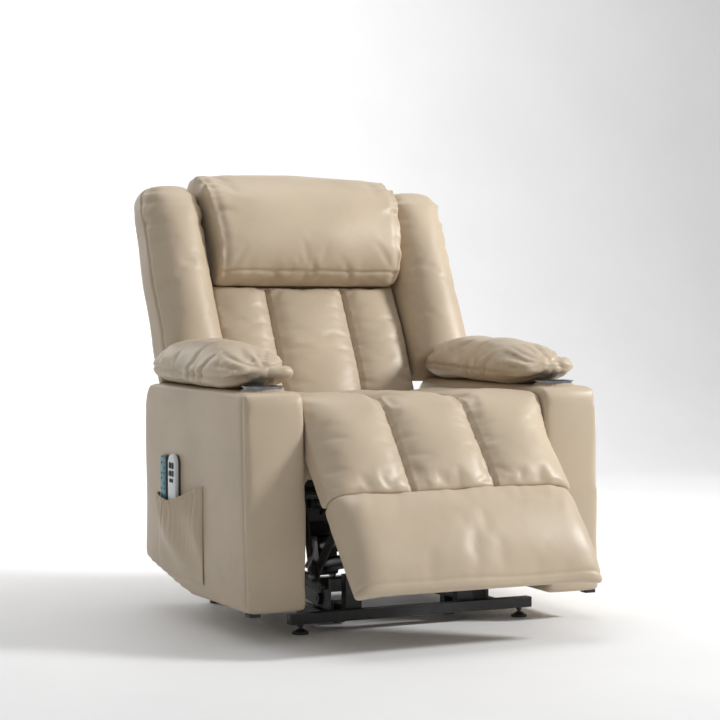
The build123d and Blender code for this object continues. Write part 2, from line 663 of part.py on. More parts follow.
def arm_glides():
    """Small bumpers under the arms' front outer corners."""
    y0 = ARM_FRONT - ARM_FRONT_SLOPE + 6.0
    return pair(block(ARM_OUTER - 30.0, ARM_OUTER - 4.0, y0, y0 + 26.0, ARM_BOTTOM - 8.0, ARM_BOTTOM))


# ---------------------------------------------------------------- leg rest
LEG_BOARD_Y = LEG_FACE + LEG_PAD


def legrest_pad(z0, z1):
    pad = block(-LEG_HALF, LEG_HALF, LEG_FACE, LEG_BOARD_Y, z0, z1)
    return in_leg_rest(chamfer(pad.faces().sort_by(Axis.Y)[0].edges(), 12.0))


def legrest_board():
    board = block(-LEG_HALF + 18, LEG_HALF - 18, LEG_BOARD_Y, LEG_BOARD_Y + LEG_BOARD,
                  LEG_BOTTOM + 18, LEG_TOP - 35)
    return in_leg_rest(board)


def legrest_brackets():
    """Angle brackets behind the board; the upper leg links end beside them."""
    end = turned(LEG_END, LEG_CENTRE, LEG_REST_ANGLE)
    y0 = LEG_BOARD_Y + LEG_BOARD
    outline = [(y0, end[1] - 55), (y0, end[1] + 55), (end[0] + 10, end[1] + 14), (end[0] + 10, end[1] - 14)]
    bracket = profile(outline, LEG_BRACKET_X, LEG_BRACKET_X + PLATE)
    bracket += block(LEG_BRACKET_X - 24, LEG_BRACKET_X + PLATE, y0, y0 + 4, end[1] - 55, end[1] + 55)
    return pair(in_leg_rest(bracket))


def leg_links_lower():
    """Lower links joined by their torque tube, with the lever that the actuator pushes."""
    links = pin(LEG_PIVOT, LEG_TUBE_R, -LEG_LOWER_X, LEG_LOWER_X)
    one = strap(LEG_PIVOT, LEG_KNEE, 13.0, LEG_LOWER_X, LEG_LOWER_X + PLATE - 1)
    one += pin(LEG_KNEE, PIN_R, LEG_UPPER_X - 0.5, LEG_LOWER_X)
    links += one
    links += flipped(one)
    for lever in lever_plates(LEG_PIVOT, LEG_LEVER_PIN, LEG_TUBE_R, LEG_MOTOR_X):
        links += lever
    return links - pin(LEG_PIVOT, PIN_R + FIT, -SIDE_PLATE_X, SIDE_PLATE_X)


def pivot_in_upper_link(opening):
    """Where the lower links' torque tube lies beside the upper link at an opening."""
    knee = turned(LEG_KNEE, LEG_PIVOT, -opening * LEG_LOWER_RATIO)
    seen = (LEG_PIVOT[0] - knee[0] + LEG_KNEE[0], LEG_PIVOT[1] - knee[1] + LEG_KNEE[1])
    return turned(seen, LEG_KNEE, opening * LEG_UPPER_RATIO)


def leg_links_upper():
    """Upper links, scalloped where they fold down beside the torque tube."""
    one = strap(LEG_KNEE, LEG_END, 13.0, LEG_UPPER_X, LEG_UPPER_X + PLATE - 1)
    for opening in (-LEG_REST_ANGLE - 1, -LEG_REST_ANGLE + 1, -LEG_REST_ANGLE + 3):
        one -= pin(pivot_in_upper_link(opening), LEG_TUBE_R + 2, LEG_UPPER_X, LEG_UPPER_X + PLATE)
    return pair(one - pin(LEG_KNEE, PIN_R + FIT, LEG_UPPER_X, LEG_UPPER_X + PLATE))


# ---------------------------------------------------------------- back
def back_frame():
    """Plywood back panel with its hinge brackets and the actuator's lever."""
    v0, v1 = BACK_PANEL
    panel = block(-BACK_PANEL_HALF, BACK_PANEL_HALF, -v1, -v0, -28.0, BACK_HEIGHT - 50)
    panel += block(-WING_INNER, WING_INNER, -v1, -v0, BACK_STEP, BACK_HEIGHT - 50)
    bracket = strap(back_point(0, 0), back_point(20, 62), 15.0, BACK_PANEL_HALF, BACK_PANEL_HALF + PLATE)
    bracket -= pin((0, 0), PIN_R + 1 + FIT, BACK_PANEL_HALF, BACK_PANEL_HALF + PLATE)
    panel += bracket
    panel += flipped(bracket)
    tip = turned(BACK_LEVER_PIN, BACK_HINGE, BACK_ANGLE)
    local_tip = (tip[0] - BACK_HINGE[0], tip[1] - BACK_HINGE[1])
    for lever in lever_plates(back_point(v0 + 14, -10), local_tip, 12.0, BACK_MOTOR_X):
        panel += lever
    return in_back(panel)


def back_cover():
    """Upholstered panel that closes the back from behind."""
    v0 = BACK_PANEL[0]
    narrow = BACK_PANEL_HALF - 3.0
    foot = 2.0                  # above the actuator's lever, which passes below it
    cover = block(-narrow, narrow, -v0, -2.0, foot, BACK_HEIGHT - 8)
    cover += block(-WING_INNER + 1, WING_INNER - 1, -v0, -2.0, BACK_STEP, BACK_HEIGHT - 8)
    return in_back(cover)


def lumbar_cushion():
    return in_back(block(-LUMBAR_HALF, LUMBAR_HALF, -LUMBAR[1], -LUMBAR[0], 20.0, LUMBAR_TOP))


def head_pillow():
    """The pillow that wraps over the top of the back."""
    low = LUMBAR_TOP + 2.0
    points = [(40, low), (90, low), (165, low + 55), (PILLOW_DEPTH, low + 130), (PILLOW_DEPTH, low + 235),
              (150, PILLOW_TOP - 10), (110, PILLOW_TOP), (40, PILLOW_TOP - 2), (11, PILLOW_TOP - 25),
              (11, BACK_HEIGHT - 6), (40, BACK_HEIGHT - 6)]
    outline = [back_point(v, u) for v, u in points]
    half = WING_INNER - 2.0
    return in_back(profile(outline, -half, half))


def back_wing():
    """Side bolster: it stands above the arm and reaches down behind it."""
    points = [(0, 138), (18, 166), (77, 214), (WING_DEPTH, 232), (WING_DEPTH, BACK_HEIGHT - 90),
              (100, BACK_HEIGHT - 18), (0, BACK_HEIGHT)]
    outline = [back_point(v, u) for v, u in points]
    return in_back(profile(outline, WING_INNER, WING_OUTER))


# ---------------------------------------------------------------- hand controls
def hand_control(size, y, z0):
    x1 = -ARM_OUTER - POCKET_GAP
    case = block(x1 - size[0], x1, y - size[1] / 2, y + size[1] / 2, z0, z0 + size[2])
    case = fillet(case.edges().filter_by(Axis.X), 12.0)
    return fillet(case.faces().sort_by(Axis.X)[0].edges(), 3.0)


def rocker(i, grow):
    """One rocker of the handset, or its recess when grown by the clearance."""
    face = -ARM_OUTER - POCKET_GAP - HANDSET[0]
    half_w = ROCKER_W[i] / 2 + grow
    half_h = ROCKER_H[i] / 2 + grow
    outer = face - ROCKER_PROUD - grow
    return block(outer, face + ROCKER_SUNK + grow, HANDSET_Y - half_w, HANDSET_Y + half_w,
                 ROCKER_Z[i] - half_h, ROCKER_Z[i] + half_h)


def handset_body():
    case = hand_control(HANDSET, HANDSET_Y, HANDSET_Z)
    for i in range(len(ROCKER_Z)):
        case -= rocker(i, 1.8)
    return case


def assembly():
    """Every node of the chair by name."""
    left_foot, right_foot = foot_places()
    arm = {"arm_outer_panel": arm_panel(ARM_OUTER - PANEL), "arm_inner_panel": arm_panel(ARM_INNER),
           "arm_front_panel": arm_front_panel(), "arm_pad": arm_pad(), "side_pocket": side_pocket(),
           "back_wing": back_wing(), "lift_arm": lift_arm()}
    nodes = {
        "base_front_tube": base_tube(FRONT_MID),
        "base_rear_tube": base_tube(REAR_MID),
        "base_side_rails": base_side_rails(),
        "wheel_posts": wheel_posts(),
        "link_brackets": link_brackets(),
        "actuator_clevis": actuator_clevis(),
        "levelling_foot_front_left": levelling_foot(left_foot, FRONT_MID),
        "levelling_foot_front_right": levelling_foot(right_foot, FRONT_MID),
        "levelling_foot_rear_left": levelling_foot(left_foot, REAR_MID),
        "levelling_foot_rear_right": levelling_foot(right_foot, REAR_MID),
        "transport_wheel_left": transport_wheel(-1),
        "transport_wheel_right": transport_wheel(1),
        "torque_tube": torque_tube(),
        "front_links": front_links(),
        "lift_gearbox": LIFT.place(LIFT.gearbox()),
        "lift_motor": LIFT.place(LIFT.motor()),
        "lift_actuator_tube": LIFT.place(LIFT.tube()),
        "lift_actuator_rod": LIFT.rod(),
        "seat_side_plates": seat_side_plates(),
        "cross_tubes": cross_tubes(),
        "seat_box": seat_box(),
        "seat_springs": seat_springs(),
        "seat_cushion": seat_cushion(),
        "control_box": control_box(),
        "arm_decks": pair(arm_deck()),
        "cup_holders": pair(cup_holder()),
        "arm_glides": arm_glides(),
        "legrest_board": legrest_board(),
        "legrest_brackets": legrest_brackets(),
        "legrest_upper_pad": legrest_pad(LEG_SEAM + 1, LEG_TOP),
        "legrest_lower_pad": legrest_pad(LEG_BOTTOM, LEG_SEAM - 1),
        "leg_links_lower": leg_links_lower(),
        "leg_links_upper": leg_links_upper(),
        "leg_actuator_body": LEG.place(LEG.gearbox() + LEG.tube() + LEG.motor()),
        "leg_actuator_rod": LEG.rod(),
        "back_frame": back_frame(),
        "back_cover": back_cover(),
        "lumbar_cushion": lumbar_cushion(),
        "head_pillow": head_pillow(),
        "back_actuator_body": BACK.place(BACK.gearbox() + BACK.tube() + BACK.motor()),
        "back_actuator_rod": BACK.rod(),
        "handset_body": handset_body(),
        "massage_remote": hand_control(REMOTE, REMOTE_Y, REMOTE_Z),
    }
    for name, part in arm.items():
        nodes[name + "_right"] = part
        nodes[name + "_left"] = flipped(part)
    for i in range(len(ROCKER_Z)):
        nodes[f"handset_rocker_{i + 1}"] = rocker(i, 0.0)
    return nodes


def origin_shift(nodes):
    """Moves the middle of the chair's footprint to X = Y = 0, with the floor at Z = 0."""
    box = Compound([solid for part in nodes.values() for solid in part.solids()]).bounding_box()
    return (-(box.min.X + box.max.X) / 2, -(box.min.Y + box.max.Y) / 2, -box.min.Z)


NODES = assembly()
SHIFT = origin_shift(NODES)

if __name__ == "__main__":
    os.makedirs("parts", exist_ok=True)
    for name, part in NODES.items():
        moved = Pos(*SHIFT) * part
        moved.label = name
        export_step(moved, f"parts/{name}.step")
    print(len(NODES), "nodes, shift", [round(s, 2) for s in SHIFT])
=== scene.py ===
"""Power lift recliner in beige faux leather: the upholstery, the small fittings and the studio
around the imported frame.  Metres, +Z up, the sitter faces -Y."""
import bpy
import bmesh
import json
import numpy as np
from math import sin, cos, pi, radians, hypot
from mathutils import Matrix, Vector
from mathutils.bvhtree import BVHTree


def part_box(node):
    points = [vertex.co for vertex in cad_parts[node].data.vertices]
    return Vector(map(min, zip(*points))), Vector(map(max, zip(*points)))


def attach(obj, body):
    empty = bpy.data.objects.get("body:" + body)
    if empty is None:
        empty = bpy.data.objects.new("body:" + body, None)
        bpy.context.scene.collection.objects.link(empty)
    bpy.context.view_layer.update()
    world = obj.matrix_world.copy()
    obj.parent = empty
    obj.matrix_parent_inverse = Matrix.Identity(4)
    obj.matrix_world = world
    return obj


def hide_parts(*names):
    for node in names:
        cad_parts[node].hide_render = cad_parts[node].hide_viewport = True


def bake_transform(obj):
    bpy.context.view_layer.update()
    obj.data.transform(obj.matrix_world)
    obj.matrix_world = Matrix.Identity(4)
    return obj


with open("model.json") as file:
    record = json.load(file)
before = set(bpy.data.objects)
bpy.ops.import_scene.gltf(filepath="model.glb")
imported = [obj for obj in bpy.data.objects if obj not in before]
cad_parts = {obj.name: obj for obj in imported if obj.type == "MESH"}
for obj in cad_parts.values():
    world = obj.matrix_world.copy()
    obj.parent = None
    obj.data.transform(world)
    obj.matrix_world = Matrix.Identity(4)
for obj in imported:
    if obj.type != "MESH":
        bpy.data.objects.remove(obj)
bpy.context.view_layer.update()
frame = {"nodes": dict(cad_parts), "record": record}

# ---- measures of the upholstery
BACK_LEAN = radians(25.3)      # the back, from vertical, at rest
LEG_SWING = radians(42.0)      # the leg rest, from vertical, at rest
SKIN = 0.002                   # cover proud of the panel that it hides
VOXEL = 0.008                  # mesh size of the simulated cushions
SIM_FRAMES = 18                # length of the cloth simulation
FIRM = 0.7                     # hold of a cushion's boxed sides; its seams and back are held at 1
CHANNEL_X = 0.101              # channel seams of the leg rest, from the middle of the chair
LUMBAR_SEAM_X = 0.108          # channel seams of the back
CHANNEL_EDGE = 0.022           # the channels round off over this distance from a seam
SWELL = 0.006                  # by this much
PUCKER = 0.0016                # height of the small folds at the channel seams
LEG_SIDE = 0.3065              # the leg rest's cover stays this near the middle, clear of the arms
LEG_FULL = 1.035               # the leg rest's covers are let out by this much, up to the arms
PILLOW_LIFT = 0.020            # the pillow's top is pulled up by this much
PILLOW_FLARE = 0.060           # and its upper ends widened by this share
HEM = 0.020                    # seam above the lower edge of the pillow and of the lower leg pad
WING_FLANK = 0.066             # depth of a wing's flat side panel
WING_SEAM = 0.070              # its seam, behind the front of the bolster
ARM_LEAN = 0.024               # the arm's front leans by this much over its height
ARM_FRONT = 0.014              # thickness of the arm's padded front
ARM_EDGE = 0.030               # radius of the arm's top front edge
PAD_PLUMP = 0.010              # the arm pads' sides are let out by this much
POCKET_WALL = 0.0072           # the pocket's cloth lies this far off the CAD pocket's back
CARD = (0.028, 0.060)          # the hang tag

HANDS = (("left", -1), ("right", 1))
joints = {j["name"]: j for j in frame["record"]["behaviour"]["joints"]}


class Side:
    """A side-view frame: x across the chair, f forward and u up, leaning back by an angle."""

    def __init__(self, origin, lean):
        self.origin = np.array(origin, float)
        self.forward = np.array((0.0, -cos(lean), sin(lean)))
        self.up = np.array((0.0, sin(lean), cos(lean)))

    def at(self, x, f, u):
        return self.origin + np.array((x, 0.0, 0.0)) + f * self.forward + u * self.up

    def place(self, points):
        """World points of rows (x, f, u)."""
        p = np.asarray(points, float)
        return self.origin + p[:, :1] * (1.0, 0.0, 0.0) + p[:, 1:2] * self.forward + p[:, 2:3] * self.up

    def read(self, points):
        """Rows (x, f, u) of world points."""
        d = np.asarray(points, float) - self.origin
        return np.stack([d[:, 0], d @ self.forward, d @ self.up], axis=1)

    def extent(self, node):
        """Lowest and highest (x, f, u) of a CAD node."""
        corners = np.array([v.co for v in frame["nodes"][node].data.vertices])
        p = self.read(corners)
        return p.min(0), p.max(0)


hinge = joints["recline"]["pos_m"]
knee = joints["footrest"]["pos_m"]
BACK = Side((0.0, hinge[1], hinge[2]), BACK_LEAN)
LEG = Side((0.0, knee[1], knee[2]), LEG_SWING)
UPRIGHT = Side((0.0, 0.0, 0.0), 0.0)


# ---- materials
class Look:
    """A material and the shader nodes that are made for it."""

    def __init__(self, name):
        self.mat = bpy.data.materials.new(name)
        self.mat.use_nodes = True
        self.tree = self.mat.node_tree
        self.shader = self.tree.nodes["Principled BSDF"]
        self.coords = self.node("TexCoord").outputs["Object"]

    def fill(self, node, inputs):
        """Sets a node's inputs, or links those that are given another node's output."""
        for name, value in inputs.items():
            if isinstance(value, bpy.types.NodeSocket):
                self.tree.links.new(value, node.inputs[name])
            else:
                node.inputs[name].default_value = value
        return node

    def node(self, kind, inputs=()):
        return self.fill(self.tree.nodes.new("ShaderNode" + kind), dict(inputs))

    def texture(self, kind, scale, detail=None, coords=None):
        inputs = {"Scale": scale, "Vector": self.coords if coords is None else coords}
        if detail is not None:
            inputs["Detail"] = detail
        return self.node("Tex" + kind, inputs).outputs[0]

    def ramp(self, factor, stops):
        node = self.node("ValToRGB", {"Fac": factor})
        for _ in range(len(stops) - 2):
            node.color_ramp.elements.new(0.5)
        for element, (place, colour) in zip(node.color_ramp.elements, stops):
            element.position = place
            element.color = (*colour, 1.0)
        return node.outputs["Color"]

    def spread(self, factor, low, high):
        return self.node("MapRange", {"To Min": low, "To Max": high, "Value": factor}).outputs["Result"]

    def bump(self, height, strength, distance, before=None):
        inputs = {"Strength": strength, "Distance": distance, "Height": height}
        if before is not None:
            inputs["Normal"] = before
        return self.node("Bump", inputs).outputs["Normal"]


def leather(name, base, rough=0.42):
    """Faux leather: a pebbled grain, soft creases and a slightly uneven tone."""
    look = Look(name)
    tone = look.texture("Noise", 5.0, 4.0)
    grain = look.texture("Voronoi", 620.0)
    crease = look.texture("Noise", 42.0, 5.0)
    dark = tuple(c * 0.90 for c in base)
    light = tuple(min(1.0, c * 1.05) for c in base)
    colour = look.ramp(tone, [(0.30, dark), (0.52, base), (0.74, light)])
    pores = look.ramp(grain, [(0.0, (1, 1, 1)), (0.9, (0.90, 0.89, 0.87))])
    mix = look.node("Mix")
    mix.data_type, mix.blend_type = "RGBA", "MULTIPLY"
    look.fill(mix, {"Factor": 0.6, 6: colour, 7: pores})
    look.fill(look.shader, {
        "Base Color": mix.outputs[2], "Roughness": look.spread(crease, rough - 0.06, rough + 0.10),
        "Normal": look.bump(grain, 0.30, 0.0004, look.bump(crease, 0.22, 0.0016)),
        "Specular IOR Level": 0.42, "Sheen Weight": 0.06, "Sheen Roughness": 0.4})
    return look.mat


def coating(name, base, rough, metallic=0.0, scale=900.0, strength=0.2, wear=0.15):
    """Paint, plastic, rubber or metal: a fine orange-peel surface with scuffed patches."""
    look = Look(name)
    patches = look.texture("Noise", 18.0, 6.0)
    fine = look.texture("Noise", scale, 2.0)
    worn = tuple(min(1.0, c * (1 + wear) + 0.01 * wear) for c in base)
    look.fill(look.shader, {
        "Base Color": look.ramp(patches, [(0.35, base), (0.75, worn)]),
        "Roughness": look.spread(patches, rough - 0.08, rough + 0.10),
        "Normal": look.bump(fine, strength, 0.0003), "Metallic": metallic})
    return look.mat


def timber(name):
    """Plain plywood: a wavy grain along X."""
    look = Look(name)
    stretched = look.node("Mapping", {"Scale": (1.0, 9.0, 9.0), "Vector": look.coords}).outputs["Vector"]
    grain = look.texture("Noise", 9.0, 8.0, stretched)
    look.fill(look.shader, {
        "Base Color": look.ramp(grain, [(0.3, (0.33, 0.21, 0.11)), (0.5, (0.47, 0.32, 0.18)),
                                        (0.7, (0.56, 0.40, 0.24))]),
        "Roughness": look.spread(grain, 0.55, 0.75), "Normal": look.bump(grain, 0.3, 0.0006)})
    return look.mat


BEIGE = (0.545, 0.445, 0.325)
LEATHER = leather("beige_faux_leather", BEIGE)
THREAD = coating("seam_thread", (0.50, 0.40, 0.28), 0.6, scale=2500.0, strength=0.6)
STEEL_BLACK = coating("black_powder_coat", (0.012, 0.012, 0.013), 0.38, scale=700.0, strength=0.35, wear=0.9)
STEEL_BRIGHT = coating("turned_steel", (0.50, 0.50, 0.51), 0.30, 1.0, scale=1400.0, strength=0.15)
WIRE = coating("spring_wire", (0.20, 0.20, 0.21), 0.36, 1.0)
CUP_STEEL = coating("cup_liner_steel", (0.30, 0.31, 0.33), 0.26, 1.0, scale=1200.0, strength=0.1)
PLASTIC = coating("black_plastic", (0.012, 0.012, 0.013), 0.42, scale=1500.0, strength=0.3, wear=0.6)
NYLON = coating("actuator_nylon", (0.020, 0.020, 0.022), 0.50, scale=1100.0, strength=0.4, wear=0.5)
ANODISED = coating("anodised_tube", (0.030, 0.030, 0.033), 0.34, 1.0, scale=800.0, strength=0.12)
RUBBER = coating("black_rubber", (0.018, 0.018, 0.018), 0.72, scale=500.0, strength=0.4, wear=0.6)
TIMBER = timber("plywood")
WHITE_SHELL = coating("handset_white", (0.70, 0.72, 0.74), 0.32, scale=1600.0, strength=0.08, wear=0.04)
SLATE = coating("button_rubber", (0.020, 0.021, 0.024), 0.55, scale=1500.0, strength=0.3, wear=0.4)
TEAL = coating("remote_keypad", (0.055, 0.23, 0.27), 0.40, scale=900.0, strength=0.15, wear=0.5)
RED = coating("remote_red_key", (0.45, 0.03, 0.02), 0.45, wear=0.1)
YELLOW = coating("remote_yellow_key", (0.62, 0.40, 0.05), 0.45, wear=0.1)
PAPER = coating("tag_card", (0.62, 0.60, 0.76), 0.65, scale=900.0, strength=0.2, wear=0.08)
# near-black cloth: painted shade, for the shadowed gap behind the seat between the arms
PAINTED_SHADE_CLOTH = coating("painted_shade_cloth", (0.025, 0.025, 0.026), 0.85, scale=1300.0, strength=0.9, wear=0.5)

SLOT_MATERIALS = {
    "upholstery": LEATHER, "covered_panel": LEATHER, "timber": TIMBER, "frame_steel": STEEL_BLACK,
    "bright_steel": STEEL_BRIGHT, "spring_steel": WIRE, "cup_liner": CUP_STEEL, "black_plastic": PLASTIC,
    "actuator_plastic": NYLON, "actuator_tube": ANODISED, "rubber": RUBBER, "handset_shell": WHITE_SHELL,
    "button": SLATE, "remote_shell": PLASTIC,
}


def dress(obj, mat):
    """Gives an object one material, in all its slots."""
    if not obj.material_slots:
        obj.data.materials.append(mat)
    for slot in obj.material_slots:
        slot.link = "OBJECT"
        slot.material = mat


for part in frame["record"]["subparts"]:
    dress(frame["nodes"][part["node"]], SLOT_MATERIALS[part["material_slot"]])


# ---- meshes
def linked(name, data):
    """A new object in the scene."""
    obj = bpy.data.objects.new(name, data)
    bpy.context.scene.collection.objects.link(obj)
    return obj


def smoothed(mesh):
    mesh.polygons.foreach_set("use_smooth", [True] * len(mesh.polygons))
    return mesh


def mesh_object(name, vertices, faces):
    mesh = bpy.data.meshes.new(name)
    mesh.from_pydata([tuple(map(float, v)) for v in vertices], [], faces)
    mesh.validate()
    bm = bmesh.new()
    bm.from_mesh(mesh)
    bmesh.ops.recalc_face_normals(bm, faces=bm.faces)
    bm.to_mesh(mesh)
    bm.free()
    return linked(name, smoothed(mesh))


def points_of(obj, what="co"):
    rows = np.empty(len(obj.data.vertices) * 3)
    obj.data.vertices.foreach_get(what, rows)
    return rows.reshape(-1, 3)


def normals_of(obj):
    obj.data.update()
    return points_of(obj, "normal")


def surface(obj, side):
    """A mesh's points, normals and (x, f, u) in a side-view frame."""
    co, n = points_of(obj), normals_of(obj)
    return co, n, side.read(co)


def move_to(obj, points):
    obj.data.vertices.foreach_set("co", np.asarray(points, float).ravel())
    obj.data.update()


def bake_modifiers(obj):
    """Applies every modifier of an object to its mesh."""
    bpy.context.view_layer.update()
    evaluated = obj.evaluated_get(bpy.context.evaluated_depsgraph_get())
    mesh = bpy.data.meshes.new_from_object(evaluated)
    mesh.name = obj.name
    obj.modifiers.clear()
    obj.data = smoothed(mesh)
    return obj


def remeshed(obj, size=VOXEL, smooth=3):
    """The object's surface as an even grid of small quads, its edges rounded a little."""
    mod = obj.modifiers.new("voxels", "REMESH")
    mod.mode, mod.voxel_size = "VOXEL", size
    bake_modifiers(obj)
    if smooth:
        soften(obj, smooth)
    return obj


def soften(obj, times, factor=0.5):
    mod = obj.modifiers.new("soft", "SMOOTH")
    mod.iterations, mod.factor = times, factor
    return bake_modifiers(obj)


def finer(obj, levels=1):
    mod = obj.modifiers.new("finer", "SUBSURF")
    mod.levels = mod.render_levels = levels
    return bake_modifiers(obj)


def slab(name, outline, x0, x1, side):
    """A solid with a side-view outline of (f, u) points, from x0 to x1."""
    n = len(outline)
    rows = [(x, f, u) for x in (x0, x1) for f, u in outline]
    faces = [tuple(range(n)), tuple(range(2 * n - 1, n - 1, -1))]
    faces += [(i, (i + 1) % n, n + (i + 1) % n, n + i) for i in range(n)]
    return mesh_object(name, side.place(rows), faces)


def grid_faces(rows, cols):
    """Faces of a sheet of (rows + 1) by (cols + 1) points, row after row."""
    wide = cols + 1
    return [(a, a + 1, a + wide + 1, a + wide) for i in range(rows) for a in range(i * wide, i * wide + cols)]


def sheet_of(name, rows, cols, at):
    """A sheet through the points at(u, v), with u from 0 to 1 across it and v along it."""
    points = [at(j / cols, i / rows) for i in range(rows + 1) for j in range(cols + 1)]
    return mesh_object(name, points, grid_faces(rows, cols))


def thickened(piece, thickness, offset=-1.0):
    mod = piece.modifiers.new("thick", "SOLIDIFY")
    mod.thickness, mod.offset = thickness, offset
    return bake_modifiers(piece)


def loft(name, rings):
    """A closed skin through rings of equally many points, with flat ends."""
    n = len(rings[0])
    vertices = [p for ring in rings for p in ring]
    faces = [tuple(range(n - 1, -1, -1)), tuple(range(len(vertices) - n, len(vertices)))]
    for r in range(len(rings) - 1):
        faces += [(r * n + i, r * n + (i + 1) % n, (r + 1) * n + (i + 1) % n, (r + 1) * n + i)
                  for i in range(n)]
    return mesh_object(name, vertices, faces)


def bevelled(obj, width, segments=3):
    mod = obj.modifiers.new("round", "BEVEL")
    mod.width, mod.segments, mod.limit_method = width, segments, "ANGLE"
    return bake_modifiers(obj)


def joined(name, objects):
    """Several meshes as one."""
    bm = bmesh.new()
    for obj in objects:
        bm.from_mesh(obj.data)
        bpy.data.objects.remove(obj)
    mesh = bpy.data.meshes.new(name)
    bm.to_mesh(mesh)
    bm.free()
    return linked(name, smoothed(mesh))


def rod(name, start, end, radius, sides=20):
    """A round bar between two points, with small chamfers at its ends."""
    a, b = np.array(start, float), np.array(end, float)
    axis = (b - a) / np.linalg.norm(b - a)
    side_a = np.cross(axis, (0.3, 0.9, 0.2))
    side_a /= np.linalg.norm(side_a)
    side_b = np.cross(axis, side_a)
    turn = np.linspace(0, 2 * pi, sides, endpoint=False)
    chamfer = min(radius * 0.18, np.linalg.norm(b - a) * 0.2)
    rings = []
    for place, r in ((a, radius - chamfer), (a + axis * chamfer, radius),
                     (b - axis * chamfer, radius), (b, radius - chamfer)):
        rings.append([place + r * (cos(t) * side_a + sin(t) * side_b) for t in turn])
    return loft(name, rings)


# ---- shaping with numpy
def ripple(s, wavelength, seed):
    """A smooth random wave along s, of height about 1."""
    waves = np.random.default_rng(seed)
    total = np.zeros_like(s)
    for share in (0.6, 1.0, 1.7, 2.6):
        total += np.sin(2 * pi * share * s / wavelength + waves.uniform(0, 2 * pi)) / (1 + share)
    return total


def mottle(points, size, seed):
    """A smooth random field in space, of height about 1."""
    waves = np.random.default_rng(seed)
    total = np.zeros(len(points))
    for _ in range(9):
        direction = waves.normal(size=3)
        direction /= np.linalg.norm(direction)
        length = size * waves.uniform(0.6, 1.6)
        total += np.sin(2 * pi * (points @ direction) / length + waves.uniform(0, 2 * pi))
    return total / 3.0


def unit(value):
    """A value kept between 0 and 1."""
    return np.clip(value, 0, 1)


def bell(d, width):
    return np.exp(-(np.asarray(d) / width) ** 2)


def push(obj, amount):
    """Moves each vertex along its normal."""
    move_to(obj, points_of(obj) + normals_of(obj) * amount[:, None])


def seed(sign, left, right):
    """A pair of pieces gets two seeds, so that the two sides crease differently."""
    return left if sign < 0 else right


# ---- inflating cushions
soft_pieces = []


def inflates(obj, held, cap, pressure=4.0, shrink=-0.03):
    """Marks a cushion for the cloth simulation.  held is each vertex's hold, 0 to 1."""
    group = obj.vertex_groups.new(name="held")
    for level in (FIRM / 2, FIRM, 1.0):
        index = np.nonzero(held > level - FIRM / 4)[0]
        group.add([int(i) for i in index], level, "REPLACE")
    cloth = obj.modifiers.new("Cloth", "CLOTH")
    settings = cloth.settings
    settings.quality = 4
    settings.mass = 0.3
    settings.use_pressure = True
    settings.uniform_pressure_force = pressure
    settings.vertex_group_mass = "held"
    settings.shrink_min = shrink
    settings.tension_stiffness = settings.compression_stiffness = 15.0
    settings.bending_stiffness = 0.8
    settings.effector_weights.gravity = 0.0
    cloth.collision_settings.use_collision = False
    cloth.point_cache.frame_start, cloth.point_cache.frame_end = 1, SIM_FRAMES
    soft_pieces.append((obj, points_of(obj).copy(), cap))


def simulate():
    """Runs every cushion's cloth at once, then keeps the result within its cap."""
    scene = bpy.context.scene
    for f in range(1, SIM_FRAMES + 1):
        scene.frame_set(f)
    for obj, start, cap in soft_pieces:
        bake_modifiers(obj)
        moved = points_of(obj) - start
        length = np.linalg.norm(moved, axis=1)
        keep = cap * np.tanh(length / cap) / np.maximum(length, 1e-9)
        move_to(obj, start + moved * keep[:, None])
    scene.frame_set(1)
    for obj, _, _ in soft_pieces:
        obj.vertex_groups.clear()


def finished(piece, slot, body, stands_for=(), material=None):
    """Gives a piece the material of its slot or the one given, hides the CAD nodes it stands for and sets the
    body it rides on.
    """
    dress(piece, material or SLOT_MATERIALS[slot])
    if stands_for:
        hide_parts(*stands_for)
    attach(piece, body)
    return piece


def stitches(name, path, step=0.0065, length=0.0042, radius=0.0006):
    """A row of stitches along a path of points: short thread bars, as one mesh."""
    path = np.asarray(path, float)
    run = np.r_[0, np.cumsum(np.linalg.norm(np.diff(path, axis=0), axis=1))]
    vertices, faces = [], []
    for start in np.arange(step / 2, run[-1] - step / 2, step):
        a = np.array([np.interp(start - length / 2, run, path[:, k]) for k in range(3)])
        b = np.array([np.interp(start + length / 2, run, path[:, k]) for k in range(3)])
        axis = (b - a) / max(np.linalg.norm(b - a), 1e-9)
        u = np.cross(axis, (0.31, 0.52, 0.79))
        u /= np.linalg.norm(u)
        v = np.cross(axis, u)
        base = len(vertices)
        for place, r in ((a, 0.4), (a + (b - a) * 0.25, 1.0), (b - (b - a) * 0.25, 1.0), (b, 0.4)):
            vertices += [place + radius * r * (cos(t) * u + sin(t) * v)
                         for t in np.linspace(0, 2 * pi, 6, endpoint=False)]
        faces += [tuple(base + i for i in range(5, -1, -1)), tuple(base + 18 + i for i in range(6))]
        for ring in range(3):
            faces += [(base + ring * 6 + i, base + ring * 6 + (i + 1) % 6,
                       base + ring * 6 + 6 + (i + 1) % 6, base + ring * 6 + 6 + i) for i in range(6)]
    return mesh_object(name, vertices, faces)


def on_surface(obj, points, direction, lift=0.0004, reach=0.08):
    """The points moved along a direction onto an object's surface."""
    obj.data.calc_loop_triangles()
    tree = BVHTree.FromPolygons([v.co for v in obj.data.vertices], [p.vertices for p in obj.data.polygons])
    ray = Vector(direction).normalized()
    found = []
    for p in points:
        hit, normal, _, _ = tree.ray_cast(Vector(p) - ray * reach, ray, 2 * reach)
        if hit is not None:
            found.append(np.array(hit + normal * lift))
    return found


